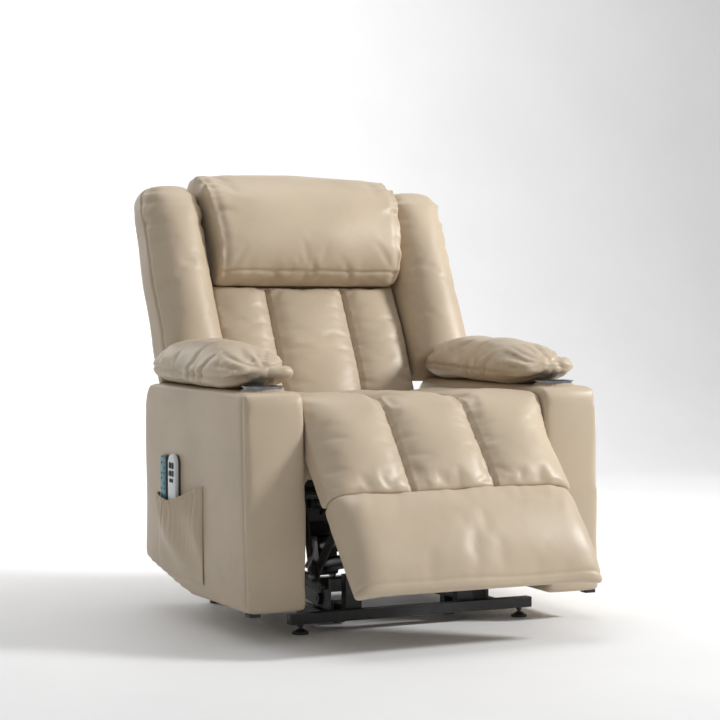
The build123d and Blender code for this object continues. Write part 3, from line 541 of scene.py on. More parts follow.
def sewn_channels(piece, side, seam_x, facing, depth, uneven, folds, seeds, foot=None):
    """Draws a cushion in at the two seams that divide it into channels, with puckers along them.

    facing gives each normal's share, uneven is a height and a size, folds are the puckers' length
    and the seam's waver, and foot is the height of a lower edge that has folds of its own.
    """
    co, n, p = surface(piece, side)
    face = facing(n)
    gap = np.abs(co[:, 0]) - seam_x
    push(piece, -SWELL * bell(gap, CHANNEL_EDGE) * face)
    push(piece, PUCKER * ripple(p[:, 2] + 0.3 * gap, folds[0], seeds[0]) * bell(gap, CHANNEL_EDGE) * face)
    if foot is not None:
        push(piece, PUCKER * ripple(co[:, 0], 0.07, 5) * bell(p[:, 2] - foot, 0.035) * face)
    push(piece, uneven[0] * mottle(co, uneven[1], seeds[1]) * face)
    finer(soften(piece, 2))
    co, n, p = surface(piece, side)
    gap = np.abs(co[:, 0]) - seam_x - 0.0009 * ripple(p[:, 2], folds[1], seeds[2])
    push(piece, -depth * bell(gap, 0.0045) * facing(n))


# ---- the chaise cushion
def chaise_outline():
    """Seat top, crown and the upper leg rest in one run, in upright (f, u)."""
    seat_low, seat_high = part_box("seat_cushion")
    low, high = LEG.extent("legrest_upper_pad")
    crown = LEG.at(0, high[1], high[2])
    board_back = LEG.extent("legrest_board")[0][1] - SKIN
    brow = LEG.at(0, high[1] - 0.006, high[2] - 0.055)
    foot = LEG.at(0, high[1] - 0.012, low[2])
    foot_back = LEG.at(0, board_back, low[2])
    heel = LEG.at(0, board_back, high[2] - 0.036)
    return [(-seat_high[1], seat_low[2] + 0.006), (-seat_high[1], seat_high[2] - 0.016),
            (-seat_low[1] - 0.06, seat_high[2] - 0.006), (-crown[1] - 0.045, crown[2] + 0.016),
            (-crown[1] - 0.018, crown[2] + 0.010), (-brow[1], brow[2]), (-foot[1], foot[2]),
            (-foot_back[1], foot_back[2]), (-heel[1], heel[2]), (-seat_low[1] - 0.006, seat_low[2] + 0.05),
            (-seat_low[1] - 0.008, seat_low[2] + 0.006)]


def chaise_cushion():
    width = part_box("legrest_upper_pad")[1][0] + 0.004
    piece = remeshed(slab("chaise_cushion", chaise_outline(), -width, width, UPRIGHT), smooth=5)
    thin_sides(piece, width)
    co, n, p = surface(piece, LEG)
    pad_low = LEG.extent("legrest_upper_pad")[0]
    face = (n @ LEG.forward > 0.25) | (n[:, 2] > 0.35)
    seam = face * (bell(np.abs(co[:, 0]) - CHANNEL_X, 0.006) > 0.45)
    back = (n @ LEG.forward < -0.5) & (p[:, 1] < pad_low[1] + 0.02)
    under = n[:, 2] < -0.6
    bottom = p[:, 2] < pad_low[2] + 0.009
    side = np.abs(n[:, 0]) > 0.8
    held = np.where(seam | back | under | bottom, 1.0, np.where(side, FIRM, 0.0))
    inflates(piece, held, 0.033, pressure=6.0, shrink=-0.03)
    return piece


def finish_chaise(piece):
    pad_low, pad_high = LEG.extent("legrest_upper_pad")

    def facing(n):
        return unit((n @ LEG.forward) * 1.6 + unit(n[:, 2]))

    sewn_channels(piece, LEG, CHANNEL_X, facing, depth=0.009, uneven=(0.0020, 0.22),
                  folds=(0.030, 0.026), seeds=(3, 11, 6), foot=pad_low[2])
    widened(piece)
    dress(piece, LEATHER)
    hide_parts("seat_cushion", "legrest_upper_pad")
    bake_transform(piece)


# ---- the seat's apron, and the black rear sheet of painted shade
def seat_apron():
    """Leather wrapped round the seat box, seen between the arm and the leg rest."""
    low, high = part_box("seat_box")
    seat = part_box("seat_cushion")[0][2]
    front, under = -low[1] + 0.010, low[2] - 0.006
    outline = [(front - 0.03, under), (front - 0.008, under + 0.002), (front, under + 0.012),
               (front + 0.004, low[2] + 0.03), (front + 0.001, seat + 0.030),
               (front - 0.008, seat + 0.034), (front - 0.008, under + 0.010),
               (front - 0.03, under + 0.004)]
    half = high[0] - 0.002
    piece = slab("seat_apron", outline, -half, half, UPRIGHT)
    bm = bmesh.new()
    bm.from_mesh(piece.data)
    long_edges = [e for e in bm.edges if abs(e.verts[0].co.x - e.verts[1].co.x) > half]
    bmesh.ops.subdivide_edges(bm, edges=long_edges, cuts=40, use_grid_fill=True)
    bm.to_mesh(piece.data)
    bm.free()
    push(piece, 0.0012 * ripple(points_of(piece)[:, 0], 0.12, 91))
    co = points_of(piece)
    flap = unit((np.abs(co[:, 0]) - 0.262) / 0.012) * (co[:, 2] < low[2] + 0.02)
    co[:, 2] -= 0.040 * flap
    move_to(piece, co)
    finer(piece, 2)
    finished(piece, "upholstery", "chair")


def rear_shade_sheet():
    """Black cloth that hangs between the arms behind the mechanism: painted shade, a dark sheet that stands
    in for the shade behind the seat.
    """
    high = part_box("seat_side_plates")[1]
    arm_low, arm_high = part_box("arm_inner_panel_left")
    y, top, foot = high[1] + 0.026, high[2] - 0.03, arm_low[2] + 0.065
    half = abs(arm_high[0]) - 0.006

    def cloth(u, v):
        x = half * (2 * u - 1)
        wave = 0.004 * ripple(np.array([x]), 0.16, 93)[0] * v
        return x, y + wave, top + (foot - top) * v

    piece = thickened(sheet_of("rear_shade_sheet", 40, 120, cloth), 0.0012)
    # the near-black cloth is painted shade behind the mechanism
    finished(piece, "upholstery", "chair", material=PAINTED_SHADE_CLOTH)


# ---- the lower leg pad
def widened(piece):
    """Fills the space between the arms, and keeps clear of them."""
    co = points_of(piece)
    co[:, 0] = np.clip(co[:, 0] * LEG_FULL, -LEG_SIDE, LEG_SIDE)
    move_to(piece, co)


def thin_sides(piece, half):
    """Rounds a leg rest pad off towards its two sides, so only a thin edge is left."""
    back = LEG.extent("legrest_board")[0][1] - SKIN
    p = LEG.read(points_of(piece))
    t = unit((np.abs(p[:, 0]) - (half - 0.065)) / 0.065)
    kept = 0.42 + 0.58 * np.sqrt(1 - t ** 2)
    on_pad = unit((0.02 + LEG.extent("legrest_upper_pad")[1][2] - p[:, 2]) / 0.10)
    kept = 1 + (kept - 1) * on_pad
    p[:, 1] = np.where(p[:, 1] > back, back + (p[:, 1] - back) * kept, p[:, 1])
    move_to(piece, LEG.place(p))


def lower_leg_pad():
    low, high = LEG.extent("legrest_lower_pad")
    x = high[0] - 0.002
    board_back = LEG.extent("legrest_board")[0][1] - SKIN
    outline = [(board_back, low[2] + 0.016), (board_back, high[2] + 0.002),
               (high[1] - 0.014, high[2] + 0.004), (high[1] - 0.004, high[2] - 0.03),
               (high[1] - 0.004, low[2] + 0.12), (high[1] - 0.012, low[2] + 0.07),
               (high[1] - 0.028, low[2] + 0.03), (high[1] - 0.044, low[2] + 0.006),
               (board_back + 0.028, low[2] + 0.002), (board_back + 0.012, low[2] + 0.006)]
    piece = remeshed(slab("legrest_lower_cover", outline, -x, x, LEG), smooth=4)
    thin_sides(piece, x)
    _, n, p = surface(piece, LEG)
    back = n @ LEG.forward < -0.4
    top = p[:, 2] > high[2] - 0.008
    side = (np.abs(n[:, 0]) > 0.8) | (n @ LEG.up < -0.8)
    inflates(piece, np.where(back | top, 1.0, np.where(side, FIRM, 0.0)), 0.016, pressure=3.0, shrink=-0.008)
    return piece


def finish_lower_leg_pad(piece):
    low, high = LEG.extent("legrest_lower_pad")
    _, n, p = surface(piece, LEG)
    face = unit((n @ LEG.forward) * 1.5)
    below = high[2] - p[:, 2]
    soften(piece, 9, 0.6)
    push(piece, 0.0016 * ripple(p[:, 0] + 0.4 * below, 0.085, 21) * bell(below, 0.05) * face)
    push(piece, 0.0024 * mottle(points_of(piece), 0.26, 23) * face)
    finer(piece)
    _, n, p = surface(piece, LEG)
    face = unit((n @ LEG.forward) * 1.5 + unit(-(n @ LEG.up)))
    hem = p[:, 2] - (low[2] + HEM)
    push(piece, -0.0022 * bell(hem, 0.003) * face)
    lip = unit((low[2] + HEM - p[:, 2]) / 0.012)
    corner = bell(high[0] - np.abs(p[:, 0]), 0.05)
    push(piece, 0.0035 * lip * corner)
    widened(piece)
    finished(piece, "upholstery", "legrest", ["legrest_lower_pad"])


# ---- the lumbar cushion
def lumbar():
    low, high = BACK.extent("lumbar_cushion")
    x = high[0] + 0.002
    outline = [(low[1] - 0.004, low[2] + 0.012), (low[1] - 0.004, high[2] + 0.006),
               (high[1] - 0.038, high[2] + 0.012), (high[1] - 0.034, high[2] - 0.08),
               (high[1] - 0.030, (low[2] + high[2]) / 2 - 0.04), (high[1] - 0.032, low[2] + 0.05),
               (high[1] - 0.040, low[2] + 0.012)]
    piece = remeshed(slab("lumbar_cover", outline, -x, x, BACK), smooth=5)
    co, n = points_of(piece), normals_of(piece)
    face = n @ BACK.forward > 0.2
    seam = face & (bell(np.abs(co[:, 0]) - LUMBAR_SEAM_X, 0.006) > 0.45)
    back = n @ BACK.forward < -0.4
    side = np.abs(n[:, 0]) > 0.8
    held = np.where(seam | back, 1.0, np.where(side, FIRM, 0.0))
    inflates(piece, held, 0.030, pressure=5.5, shrink=-0.02)
    return piece


def finish_lumbar(piece):
    def facing(n):
        return unit((n @ BACK.forward) * 1.6)

    sewn_channels(piece, BACK, LUMBAR_SEAM_X, facing, depth=0.010, uneven=(0.0022, 0.24),
                  folds=(0.034, 0.028), seeds=(33, 35, 36))
    finished(piece, "upholstery", "back", ["lumbar_cushion"])


# ---- the head pillow
def pillow():
    """A deep roll that wraps over the top of the back: round in side view, fuller at the top."""
    low, high = BACK.extent("head_pillow")
    base, top, deep = low[2], high[2], high[1] - 0.022
    outline = [(0.045, base + 0.010), (0.080, base + 0.002)]
    mid, rise = base + 0.155, 0.150
    outline += [(0.080 + (deep - 0.080) * cos(a) ** 0.75, mid + rise * sin(a))
                for a in np.linspace(-1.25, 0.55, 9)]
    outline += [(deep - 0.040, top - 0.048), (deep - 0.080, top - 0.018), (0.070, top - 0.008),
                (0.030, top - 0.014), (0.008, top - 0.036), (0.012, top - 0.058), (0.045, top - 0.06)]
    x = high[0] - 0.006
    piece = remeshed(slab("head_pillow_cover", outline, -x, x, BACK), smooth=16)
    _, n, p = surface(piece, BACK)
    back = (n @ BACK.forward < -0.3) & (p[:, 2] < top - 0.05)
    ends = (np.abs(p[:, 0]) > x - 0.012) & (p[:, 1] < deep - 0.04)
    inflates(piece, np.where(back | ends, 1.0, 0.0), 0.024, pressure=4.5, shrink=-0.012)
    return piece


def finish_pillow(piece):
    low, high = BACK.extent("head_pillow")
    co = points_of(piece)
    p = BACK.read(co)
    n = normals_of(piece)
    front = unit(n @ BACK.forward * 1.4 + unit(n @ BACK.up))
    end = high[0] - np.abs(p[:, 0])
    run = p[:, 2] - 0.5 * p[:, 1]
    high_up = np.clip((p[:, 2] - low[2] - 0.10) / 0.08, 0.25, 1)
    push(piece, 0.0060 * ripple(run + 0.25 * end, 0.060, 41) * bell(end - 0.012, 0.034) * front * high_up)
    push(piece, -0.006 * bell(end - 0.020, 0.006) * front)
    foot = p[:, 2] - low[2]
    push(piece, 0.0022 * ripple(p[:, 0], 0.09, 43) * bell(foot, 0.035) * front)
    push(piece, 0.0030 * mottle(co, 0.30, 45) * front)
    finer(soften(piece, 2))
    p = BACK.read(points_of(piece))
    rise = unit((p[:, 2] - low[2]) / (high[2] - low[2]))
    p[:, 0] *= 1.0 + PILLOW_FLARE * unit((rise - 0.25) / 0.5)
    p[:, 2] += PILLOW_LIFT * rise
    move_to(piece, BACK.place(p))
    n = normals_of(piece)
    hem = p[:, 2] - (low[2] + HEM)
    push(piece, -0.0030 * bell(hem, 0.003) * unit(n @ BACK.forward + 0.3))
    finished(piece, "upholstery", "back", ["head_pillow"])


# ---- the back wings
def wing(hand, sign):
    """A flat side panel that runs into a round bolster, domed at its top."""
    low, high = BACK.extent("back_wing_" + hand)
    inner, outer = sorted((low[0], high[0]), key=abs)
    deep, tall, base = high[1] - 0.012, high[2] - 0.006, low[2]
    outer, inner = abs(outer) - 0.006, abs(inner) + 0.003
    middle, half = (outer + inner) / 2, (outer - inner) / 2
    bulge = deep - WING_FLANK
    outline = [(outer, 0.0), (outer, WING_FLANK * 0.5), (outer, WING_FLANK)]
    outline += [(middle + half * cos(a) ** 0.75, WING_FLANK + bulge * sin(a) ** 0.85)
                for a in np.linspace(0.12, pi / 2, 9)]
    outline += [(middle - half * sin(a) ** 0.8, WING_FLANK + bulge * cos(a) ** 0.85)
                for a in np.linspace(0.18, pi / 2 - 0.1, 9)]
    outline += [(inner, WING_FLANK * 0.8), (inner, WING_FLANK * 0.4), (inner, 0.0)]
    rings = []
    for t in np.linspace(0, 1, 26):
        dome = 1.0 if t < 0.80 else (1 - ((t - 0.80) / 0.20) ** 2.2 * 0.97) ** 0.5
        ring = []
        for x, v in outline:
            forward = 0.004 + v * (0.45 + 0.55 * dome)
            lowest = base + 0.004 + 0.040 * min(1.0, forward / 0.10) ** 0.8
            u = lowest + (tall - 0.010 * (1 - forward / deep) - lowest) * t
            narrow = middle + (x - middle) * (0.80 + 0.20 * dome)
            ring.append(BACK.at(sign * narrow, forward, u))
        rings.append(ring)
    piece = remeshed(loft("back_wing_cover_" + hand, rings), smooth=8)
    _, n, p = surface(piece, BACK)
    flat_side = (n[:, 0] * sign > 0.6) & (p[:, 1] < deep - 0.070)
    back = n @ BACK.forward < -0.4
    inside = (n[:, 0] * sign < -0.5) & (p[:, 1] < deep - 0.06)
    inflates(piece, np.where(flat_side | back | inside, 1.0, 0.0), 0.020, pressure=4.5, shrink=-0.012)
    return piece


def finish_wing(piece, hand, sign):
    high = BACK.extent("back_wing_" + hand)[1]
    co = points_of(piece)
    p = BACK.read(co)
    seam = p[:, 1] - (high[1] - WING_SEAM)
    gathers = ripple(p[:, 2] + 0.4 * seam, 0.050, seed(sign, 51, 52))
    gathers *= bell(p[:, 2] - high[2] + 0.085, 0.085)
    push(piece, 0.0050 * gathers * bell(seam - 0.022, 0.028))
    push(piece, 0.0024 * mottle(co, 0.26, seed(sign, 53, 54)))
    finer(soften(piece, 2))
    _, n, p = surface(piece, BACK)
    seam = p[:, 1] - (high[1] - WING_SEAM) - 0.0012 * ripple(p[:, 2], 0.05, 55)
    push(piece, -0.0050 * bell(seam, 0.0035) * unit(n[:, 0] * sign * 1.5))
    finished(piece, "upholstery", "back", ["back_wing_" + hand])


# ---- the back cover
def back_cover():
    low, high = BACK.extent("back_cover")
    wide = high[0] - 0.003
    base, step, tall = low[2], 0.145, high[2]
    narrow = wide - 0.015
    rows, cols = 90, 60
    vertices = []
    for i in range(rows + 1):
        u = base + 0.002 + (tall - base - 0.004) * i / rows
        half = narrow + (wide - narrow) * unit((u - step) / 0.02)
        for j in range(cols + 1):
            x = half * (2 * j / cols - 1)
            edge = min(half - abs(x), (i + 0.5) / rows * 0.7, (1 - (i - 0.5) / rows) * 0.7)
            crown = 0.011 * (1 - np.exp(-max(edge, 0) / 0.03))
            flap = -0.0035 * float(bell(u - (tall - 0.18), 0.006))
            vertices.append((x, 0.006 - crown - flap, u))
    front = len(vertices)
    vertices += [(x, high[1] - 0.001, u) for x, _, u in vertices[:front]]
    step_row = cols + 1
    faces = []
    for a, b, c, d in grid_faces(rows, cols):
        faces += [(a, b, c, d), (front + a, front + d, front + c, front + b)]
    rim = list(range(cols + 1))
    rim += [i * step_row + cols for i in range(1, rows + 1)]
    rim += [rows * step_row + j for j in range(cols - 1, -1, -1)]
    rim += [i * step_row for i in range(rows - 1, 0, -1)]
    faces += [(rim[k], rim[(k + 1) % len(rim)], front + rim[(k + 1) % len(rim)], front + rim[k])
              for k in range(len(rim))]
    piece = mesh_object("rear_cover_panel", BACK.place(vertices), faces)
    push(piece, 0.0018 * mottle(points_of(piece), 0.20, 61))
    finer(soften(piece, 2))
    finished(piece, "upholstery", "back", ["back_cover"])
    path = [BACK.at(x, 0.0, tall - 0.165) for x in np.linspace(-wide + 0.01, wide - 0.01, 90)]
    row = stitches("rear_cover_stitching", on_surface(piece, path, BACK.forward))
    finished(row, "upholstery", "back", material=THREAD)


# ---- arms
def arm_outline(hand):
    """The arm box in upright (f, u): sloped front, swept heel, rounded top corners."""
    low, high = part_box("arm_outer_panel_" + hand)
    front_low, front_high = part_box("arm_front_panel_" + hand)
    toe, top_front = -front_low[1] + 0.004, -front_high[1] + ARM_FRONT + 0.004
    rear, base, top = -high[1] - SKIN, low[2] - SKIN, front_high[2] + 0.004
    heel = 0.057
    points = [(toe, base + 0.004), (toe - 0.010, base)]
    points += [(rear + (toe - 0.35 - rear) * (1 - t), base + heel * t ** 1.25)
               for t in np.linspace(0.0, 1.0, 8)]
    points += [(rear + 0.001, base + heel + 0.01), (rear, top - 0.10)]
    points += [(rear + 0.055 * (1 - cos(a)), top - 0.055 + 0.055 * sin(a))
               for a in np.linspace(0.25, pi / 2, 5)]
    return points + [(top_front + 0.006 - ARM_EDGE * (1 - sin(a)), top - ARM_EDGE * (1 - cos(a)))
                     for a in np.linspace(0, pi / 2, 7)]


def arm_cover(hand, sign):
    """The leather over an arm's panels and deck, crowned a little on its outer side."""
    low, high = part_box("arm_outer_panel_" + hand)
    xs = [corner[0] for corner in (low, high, *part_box("arm_inner_panel_" + hand))]
    x0, x1 = min(xs) + min(0.001 * sign, 0), max(xs) + max(0.001 * sign, 0)
    piece = slab("arm_cover_" + hand, arm_outline(hand), x0, x1, UPRIGHT)
    remeshed(piece, 0.0075, smooth=9)
    co, n = points_of(piece), normals_of(piece)
    front_low, front_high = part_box("arm_front_panel_" + hand)
    slope = (front_high[2] - co[:, 2]) / (front_high[2] - front_low[2]) * ARM_LEAN
    ahead = (front_high[1] - ARM_FRONT) - slope - co[:, 1]
    outside = unit(n[:, 0] * sign * 1.4)
    edge = np.minimum.reduce([-ahead, high[1] - co[:, 1], co[:, 2] - low[2], high[2] - co[:, 2]])
    crown = 0.006 * (1 - np.exp(-np.clip(edge, 0, None) / 0.05))
    push(piece, crown * outside)
    seam = -ahead - ARM_FRONT
    push(piece, -0.0026 * bell(seam, 0.005) * outside)
    frontal = unit(-n[:, 1] * 1.3)
    across = np.abs(co[:, 0]) - (abs(x0) + abs(x1)) / 2
    push(piece, 0.004 * np.cos(np.clip(across / 0.071, -1, 1) * pi / 2) * frontal)
    push(piece, 0.0014 * mottle(co, 0.20, seed(sign, 71, 72)))
    finer(piece)
    open_cup(piece, sign)
    finished(piece, "covered_panel", "chair",
             [f"arm_{panel}_panel_{hand}" for panel in ("outer", "inner", "front")] + ["arm_decks"])
    path = []
    for z in np.linspace(low[2] + 0.012, front_high[2] - 0.012, 120):
        lean = (front_high[2] - z) / (front_high[2] - front_low[2]) * ARM_LEAN
        path.append((sign * 0.45, front_high[1] - ARM_FRONT - lean + 0.0175, z))
    row = stitches(f"arm_seam_stitches_{hand}", on_surface(piece, path, (-sign, 0, 0)))
    finished(row, "covered_panel", "chair", material=THREAD)


def open_cup(piece, sign):
    """Opens the arm's top under the cup holder's rim."""
    cups = points_of(frame["nodes"]["cup_holders"])
    own = cups[cups[:, 0] * sign > 0]
    centre = (own.min(0) + own.max(0)) / 2
    radius = (own[:, 0].max() - own[:, 0].min()) / 2 - 0.004
    top = own[:, 2].max()
    bm = bmesh.new()
    bm.from_mesh(piece.data)
    inside = [v for v in bm.verts if hypot(v.co.x - centre[0], v.co.y - centre[1]) < radius
              and v.co.z > top - 0.03]
    bmesh.ops.delete(bm, geom=inside, context="VERTS")
    rim = [v for v in bm.verts if v.is_boundary]
    for v in rim:
        dx, dy = v.co.x - centre[0], v.co.y - centre[1]
        k = radius / max(hypot(dx, dy), 1e-6)
        v.co.x, v.co.y = centre[0] + dx * k, centre[1] + dy * k
        v.co.z = top - 0.006
    bm.to_mesh(piece.data)
    bm.free()


def arm_pad(hand, sign):
    """A plump pad on the arm's top, whose outer side hangs a little over the arm."""
    low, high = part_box("arm_pad_" + hand)
    box_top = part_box("arm_front_panel_" + hand)[1][2] + 0.005
    arm_side = max(abs(corner[0]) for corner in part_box("arm_outer_panel_" + hand)) + 0.003
    inner, outer = sorted((abs(low[0]), abs(high[0])))
    inner -= 0.008
    middle, half = (inner + outer) / 2, (outer - inner) / 2 - 0.002
    front, rear = low[1] - 0.006, high[1] + 0.022
    rings = []
    for t in np.linspace(0, 1, 22):
        y = front + (rear - front) * t
        nose = min(1.0, ((t + 0.012) / 0.20)) ** 0.55
        tail = min(1.0, ((1.015 - t) / 0.13)) ** 0.5
        size = nose * tail
        top = high[2] - 0.014 - 0.016 * max(0.0, 1 - t / 0.5) ** 1.5
        droop = 0.004 + 0.036 * t
        mid = box_top + 0.040
        ring = []
        for a in np.linspace(0, 2 * pi, 36, endpoint=False):
            cx, cz = cos(a), sin(a)
            sx = np.sign(cx) * abs(cx) ** 0.72
            sz = np.sign(cz) * abs(cz) ** 0.85
            x = middle + sx * half * (0.80 + 0.20 * size)
            if sz >= 0:
                z = mid + sz * (top - mid) * size
            elif x > arm_side:
                z = mid + sz * (mid - box_top + droop) * size
            else:
                z = max(box_top, mid + sz * (mid - box_top) * 1.2 * size)
            ring.append((sign * x, y, z))
        rings.append(ring)
    piece = remeshed(loft("arm_pad_cover_" + hand, rings), 0.007, smooth=6)
    co, n = points_of(piece), normals_of(piece)
    ring_seam = (bell(co[:, 2] - pad_seam(co, hand), 0.006) > 0.5) & (np.abs(n[:, 2]) < 0.7)
    under = n[:, 2] < -0.5
    held = np.where(under, 1.0, np.where(ring_seam, FIRM, 0.0))
    inflates(piece, held, 0.016, pressure=4.0, shrink=-0.02)
    return piece


def pad_seam(points, hand):
    """Height of the seam round a pad: it sinks slightly towards the front tip."""
    low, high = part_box("arm_pad_" + hand)
    box_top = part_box("arm_front_panel_" + hand)[1][2]
    ahead = unit((points[:, 1] - low[1]) / (high[1] - low[1]))
    return box_top + 0.030 + 0.016 * ahead


def finish_arm_pad(piece, hand, sign):
    low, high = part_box("arm_pad_" + hand)
    box_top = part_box("arm_front_panel_" + hand)[1][2]
    co, n = points_of(piece), normals_of(piece)
    wall = unit(1.3 - np.abs(n[:, 2]) * 1.5)
    seam = co[:, 2] - pad_seam(co, hand)
    ahead = co[:, 1] - low[1]
    turn = np.arctan2(co[:, 2] - (box_top + 0.05), co[:, 0] - (low[0] + high[0]) / 2)
    folds = ripple(turn * 0.10 + 0.30 * ahead, 0.060, seed(sign, 81, 82))
    push(piece, 0.0050 * folds * bell(ahead - 0.02, 0.060))
    above = co[:, 2] > box_top - 0.01
    for place, lean, deep in ((0.155, 0.45, 0.0075), (0.195, -0.55, 0.0055), (0.235, 0.25, 0.0060)):
        crease = ahead - place + lean * seam
        push(piece, -deep * bell(crease, 0.0085) * bell(seam - 0.002, 0.030) * above * wall)
        push(piece, 0.55 * deep * bell(crease - 0.016, 0.010) * bell(seam, 0.032) * above * wall)
    push(piece, 0.0022 * mottle(co, 0.18, seed(sign, 85, 86)))
    soften(piece, 2, 0.45)
    wall = unit(1.4 - np.abs(normals_of(piece)[:, 2]) * 1.5)
    push(piece, PAD_PLUMP * wall)
    finer(piece)
    co = points_of(piece)
    arm_side = max(abs(corner[0]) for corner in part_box("arm_outer_panel_" + hand)) + 0.002
    beyond = unit((np.abs(co[:, 0]) - arm_side) / 0.012)
    lower = unit((box_top + 0.045 - co[:, 2]) / 0.045)
    back_from_tip = unit((co[:, 1] - low[1]) / (high[1] - low[1]))
    co[:, 2] -= (0.008 + 0.016 * back_from_tip) * beyond * lower
    move_to(piece, co)
    n = normals_of(piece)
    wall = unit(1.3 - np.abs(n[:, 2]) * 1.5)
    seam = co[:, 2] - pad_seam(co, hand) - 0.0010 * ripple(co[:, 1], 0.05, 87)
    push(piece, -0.0042 * bell(seam, 0.0030) * wall)
    finished(piece, "upholstery", "chair", ["arm_pad_" + hand])


# ---- side pockets
def side_pocket(hand, sign):
    """A leather pocket with an elastic mouth: bellied over what it holds, gathered at the top."""
    low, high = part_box("side_pocket_" + hand)
    depth = high[0] - low[0]
    wall = min(abs(low[0]), abs(high[0])) + POCKET_WALL
    rear, front, base, top = high[1] + 0.008, low[1] - 0.004, low[2] - 0.002, high[2] - 0.004
    width = rear - front

    def cloth(u, v):
        sag = 0.030 * max(0.0, 1 - abs(u - 0.40) / 0.60) ** 0.8
        lip = top - sag - 0.004 + 0.024 * u ** 1.5
        z = base + (lip - base) * v + 0.006 * (1 - v) * (1 - u)
        side_fall = max(0.0, 1 - abs(2 * u - 1) ** 9) ** 0.6
        held = bell(u - 0.34, 0.34)
        belly = (0.008 * sin(pi * v) + (depth - 0.003) * v ** 1.2 * held
                 + 0.012 * v ** 2 * (1 - held)) * side_fall
        pleat = sin(2 * pi * 13 * u + 1.6 * sin(9 * u)) + 0.5 * sin(2 * pi * 29 * u)
        gather = 0.0022 * pleat * v ** 2.5 * side_fall
        fold = 0.0055 * sin(2 * pi * (1.6 * u + 1.1 * v) + 0.6) * sin(pi * v) * side_fall
        x = wall + 0.0005 + belly + gather + fold
        if v > 0.95:
            x += 0.0018 * side_fall * sin(pi * (v - 0.95) / 0.05)
        return sign * x, rear - width * u, z

    piece = sheet_of("side_pocket_cover_" + hand, 72, 132, cloth)
    finer(thickened(piece, 0.0022, 0.0))
    finished(piece, "upholstery", "chair", ["side_pocket_" + hand])


# ---- hand controls
def rounded_bar(name, low, high, radius, segments=4):
    x0, y0, z0 = low
    x1, y1, z1 = high
    corners = [(x0, y0, z0), (x1, y0, z0), (x1, y1, z0), (x0, y1, z0),
               (x0, y0, z1), (x1, y0, z1), (x1, y1, z1), (x0, y1, z1)]
    faces = [(3, 2, 1, 0), (4, 5, 6, 7), (0, 1, 5, 4), (1, 2, 6, 5), (2, 3, 7, 6), (3, 0, 4, 7)]
    return bevelled(mesh_object(name, corners, faces), radius, segments)


def tapered_shell(name, x0, x1, low, high, round_top, shrink):
    """A hand control's shell: a rounded tablet outline in (y, z), crowned towards one face."""
    y0, y1, z0, z1 = low[1], high[1], low[2], high[2]
    outline = []
    for cy, cz, start in ((y1 - round_top, z1 - round_top, 0.0), (y0 + round_top, z1 - round_top, pi / 2),
                          (y0 + round_top * 0.6, z0 + round_top * 0.6, pi),
                          (y1 - round_top * 0.6, z0 + round_top * 0.6, 1.5 * pi)):
        r = round_top if cz > (z0 + z1) / 2 else round_top * 0.6
        outline += [(cy + r * cos(start + a), cz + r * sin(start + a)) for a in np.linspace(0, pi / 2, 7)]
    middle = ((y0 + y1) / 2, (z0 + z1) / 2)
    rings = []
    for x, inset in ((x0, shrink), (x0 + (x1 - x0) * 0.12, shrink * 0.3), (x0 + (x1 - x0) * 0.4, 0.0),
                     (x0 + (x1 - x0) * 0.75, 0.0), (x0 + (x1 - x0) * 0.93, 0.0012), (x1, 0.004)):
        ring = []
        for y, z in outline:
            dy, dz = y - middle[0], z - middle[1]
            ky = 1 - inset / max(abs(y0 - middle[0]), 1e-6)
            kz = 1 - inset / max(abs(z0 - middle[1]), 1e-6)
            ring.append((x, middle[0] + dy * ky, middle[1] + dz * kz))
        rings.append(ring)
    return loft(name, rings)


def handset():
    low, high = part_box("handset_body")
    split = low[0] + (high[0] - low[0]) * 0.42
    front = tapered_shell("handset_front_shell", split, low[0], low, high, 0.022, 0.0)
    rear = tapered_shell("handset_rear_shell", high[0], split + 0.0003, low, high, 0.022, 0.003)
    finished(front, "handset_shell", "handset", ["handset_body"])
    finished(rear, "handset_shell", "handset", material=PLASTIC)
    for number in (1, 2, 3):
        node = f"handset_rocker_{number}"
        k_low, k_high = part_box(node)
        pair = []
        half = (k_high[1] - k_low[1]) / 2
        for name, a, b in (("near", k_low[1], k_low[1] + half * 0.90),
                           ("far", k_high[1] - half * 0.90, k_high[1])):
            pair.append(tapered_shell(f"rocker_{number}_{name}", k_high[0], k_low[0],
                                      (0, a, k_low[2]), (0, b, k_high[2]), min(half * 0.42, 0.0048), 0.0))
        finished(joined(f"handset_keys_{number}", pair), "button", f"rocker_{number}", [node])


def remote():
    low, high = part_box("massage_remote")
    shell = tapered_shell("remote_shell", high[0], low[0] + 0.0012, low, high, 0.010, 0.002)
    finished(shell, "remote_shell", "remote", ["massage_remote"])
    face = rounded_bar("remote_keypad", (low[0] + 0.0004, low[1] + 0.005, low[2] + 0.02),
                       (low[0] + 0.0022, high[1] - 0.005, high[2] - 0.006), 0.0008, 2)
    finished(face, "remote_shell", "remote", material=TEAL)
    for number in range(12):
        row, column = divmod(number, 2)
        y = low[1] + 0.014 + 0.017 * column
        z = high[2] - 0.018 - 0.0125 * row
        key = rod(f"remote_key_{number + 1}", (low[0] - 0.0002, y, z), (low[0] + 0.0012, y, z), 0.0032, 16)
        finished(key, "remote_shell", "remote",
                 material=RED if number in (0, 6) else YELLOW if number in (3, 9) else SLATE)


# ---- fittings
def end_plugs():
    for end in ("front", "rear"):
        low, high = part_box(f"base_{end}_tube")
        for hand, sign in HANDS:
            x = low[0] if sign < 0 else high[0]
            plug = rounded_bar(f"tube_plug_{end}_{hand}",
                               (min(x, x - sign * 0.012), low[1] + 0.0022, low[2] + 0.0022),
                               (max(x, x - sign * 0.012), high[1] - 0.0022, high[2] - 0.0022), 0.0012, 2)
            finished(plug, "black_plastic", "base")


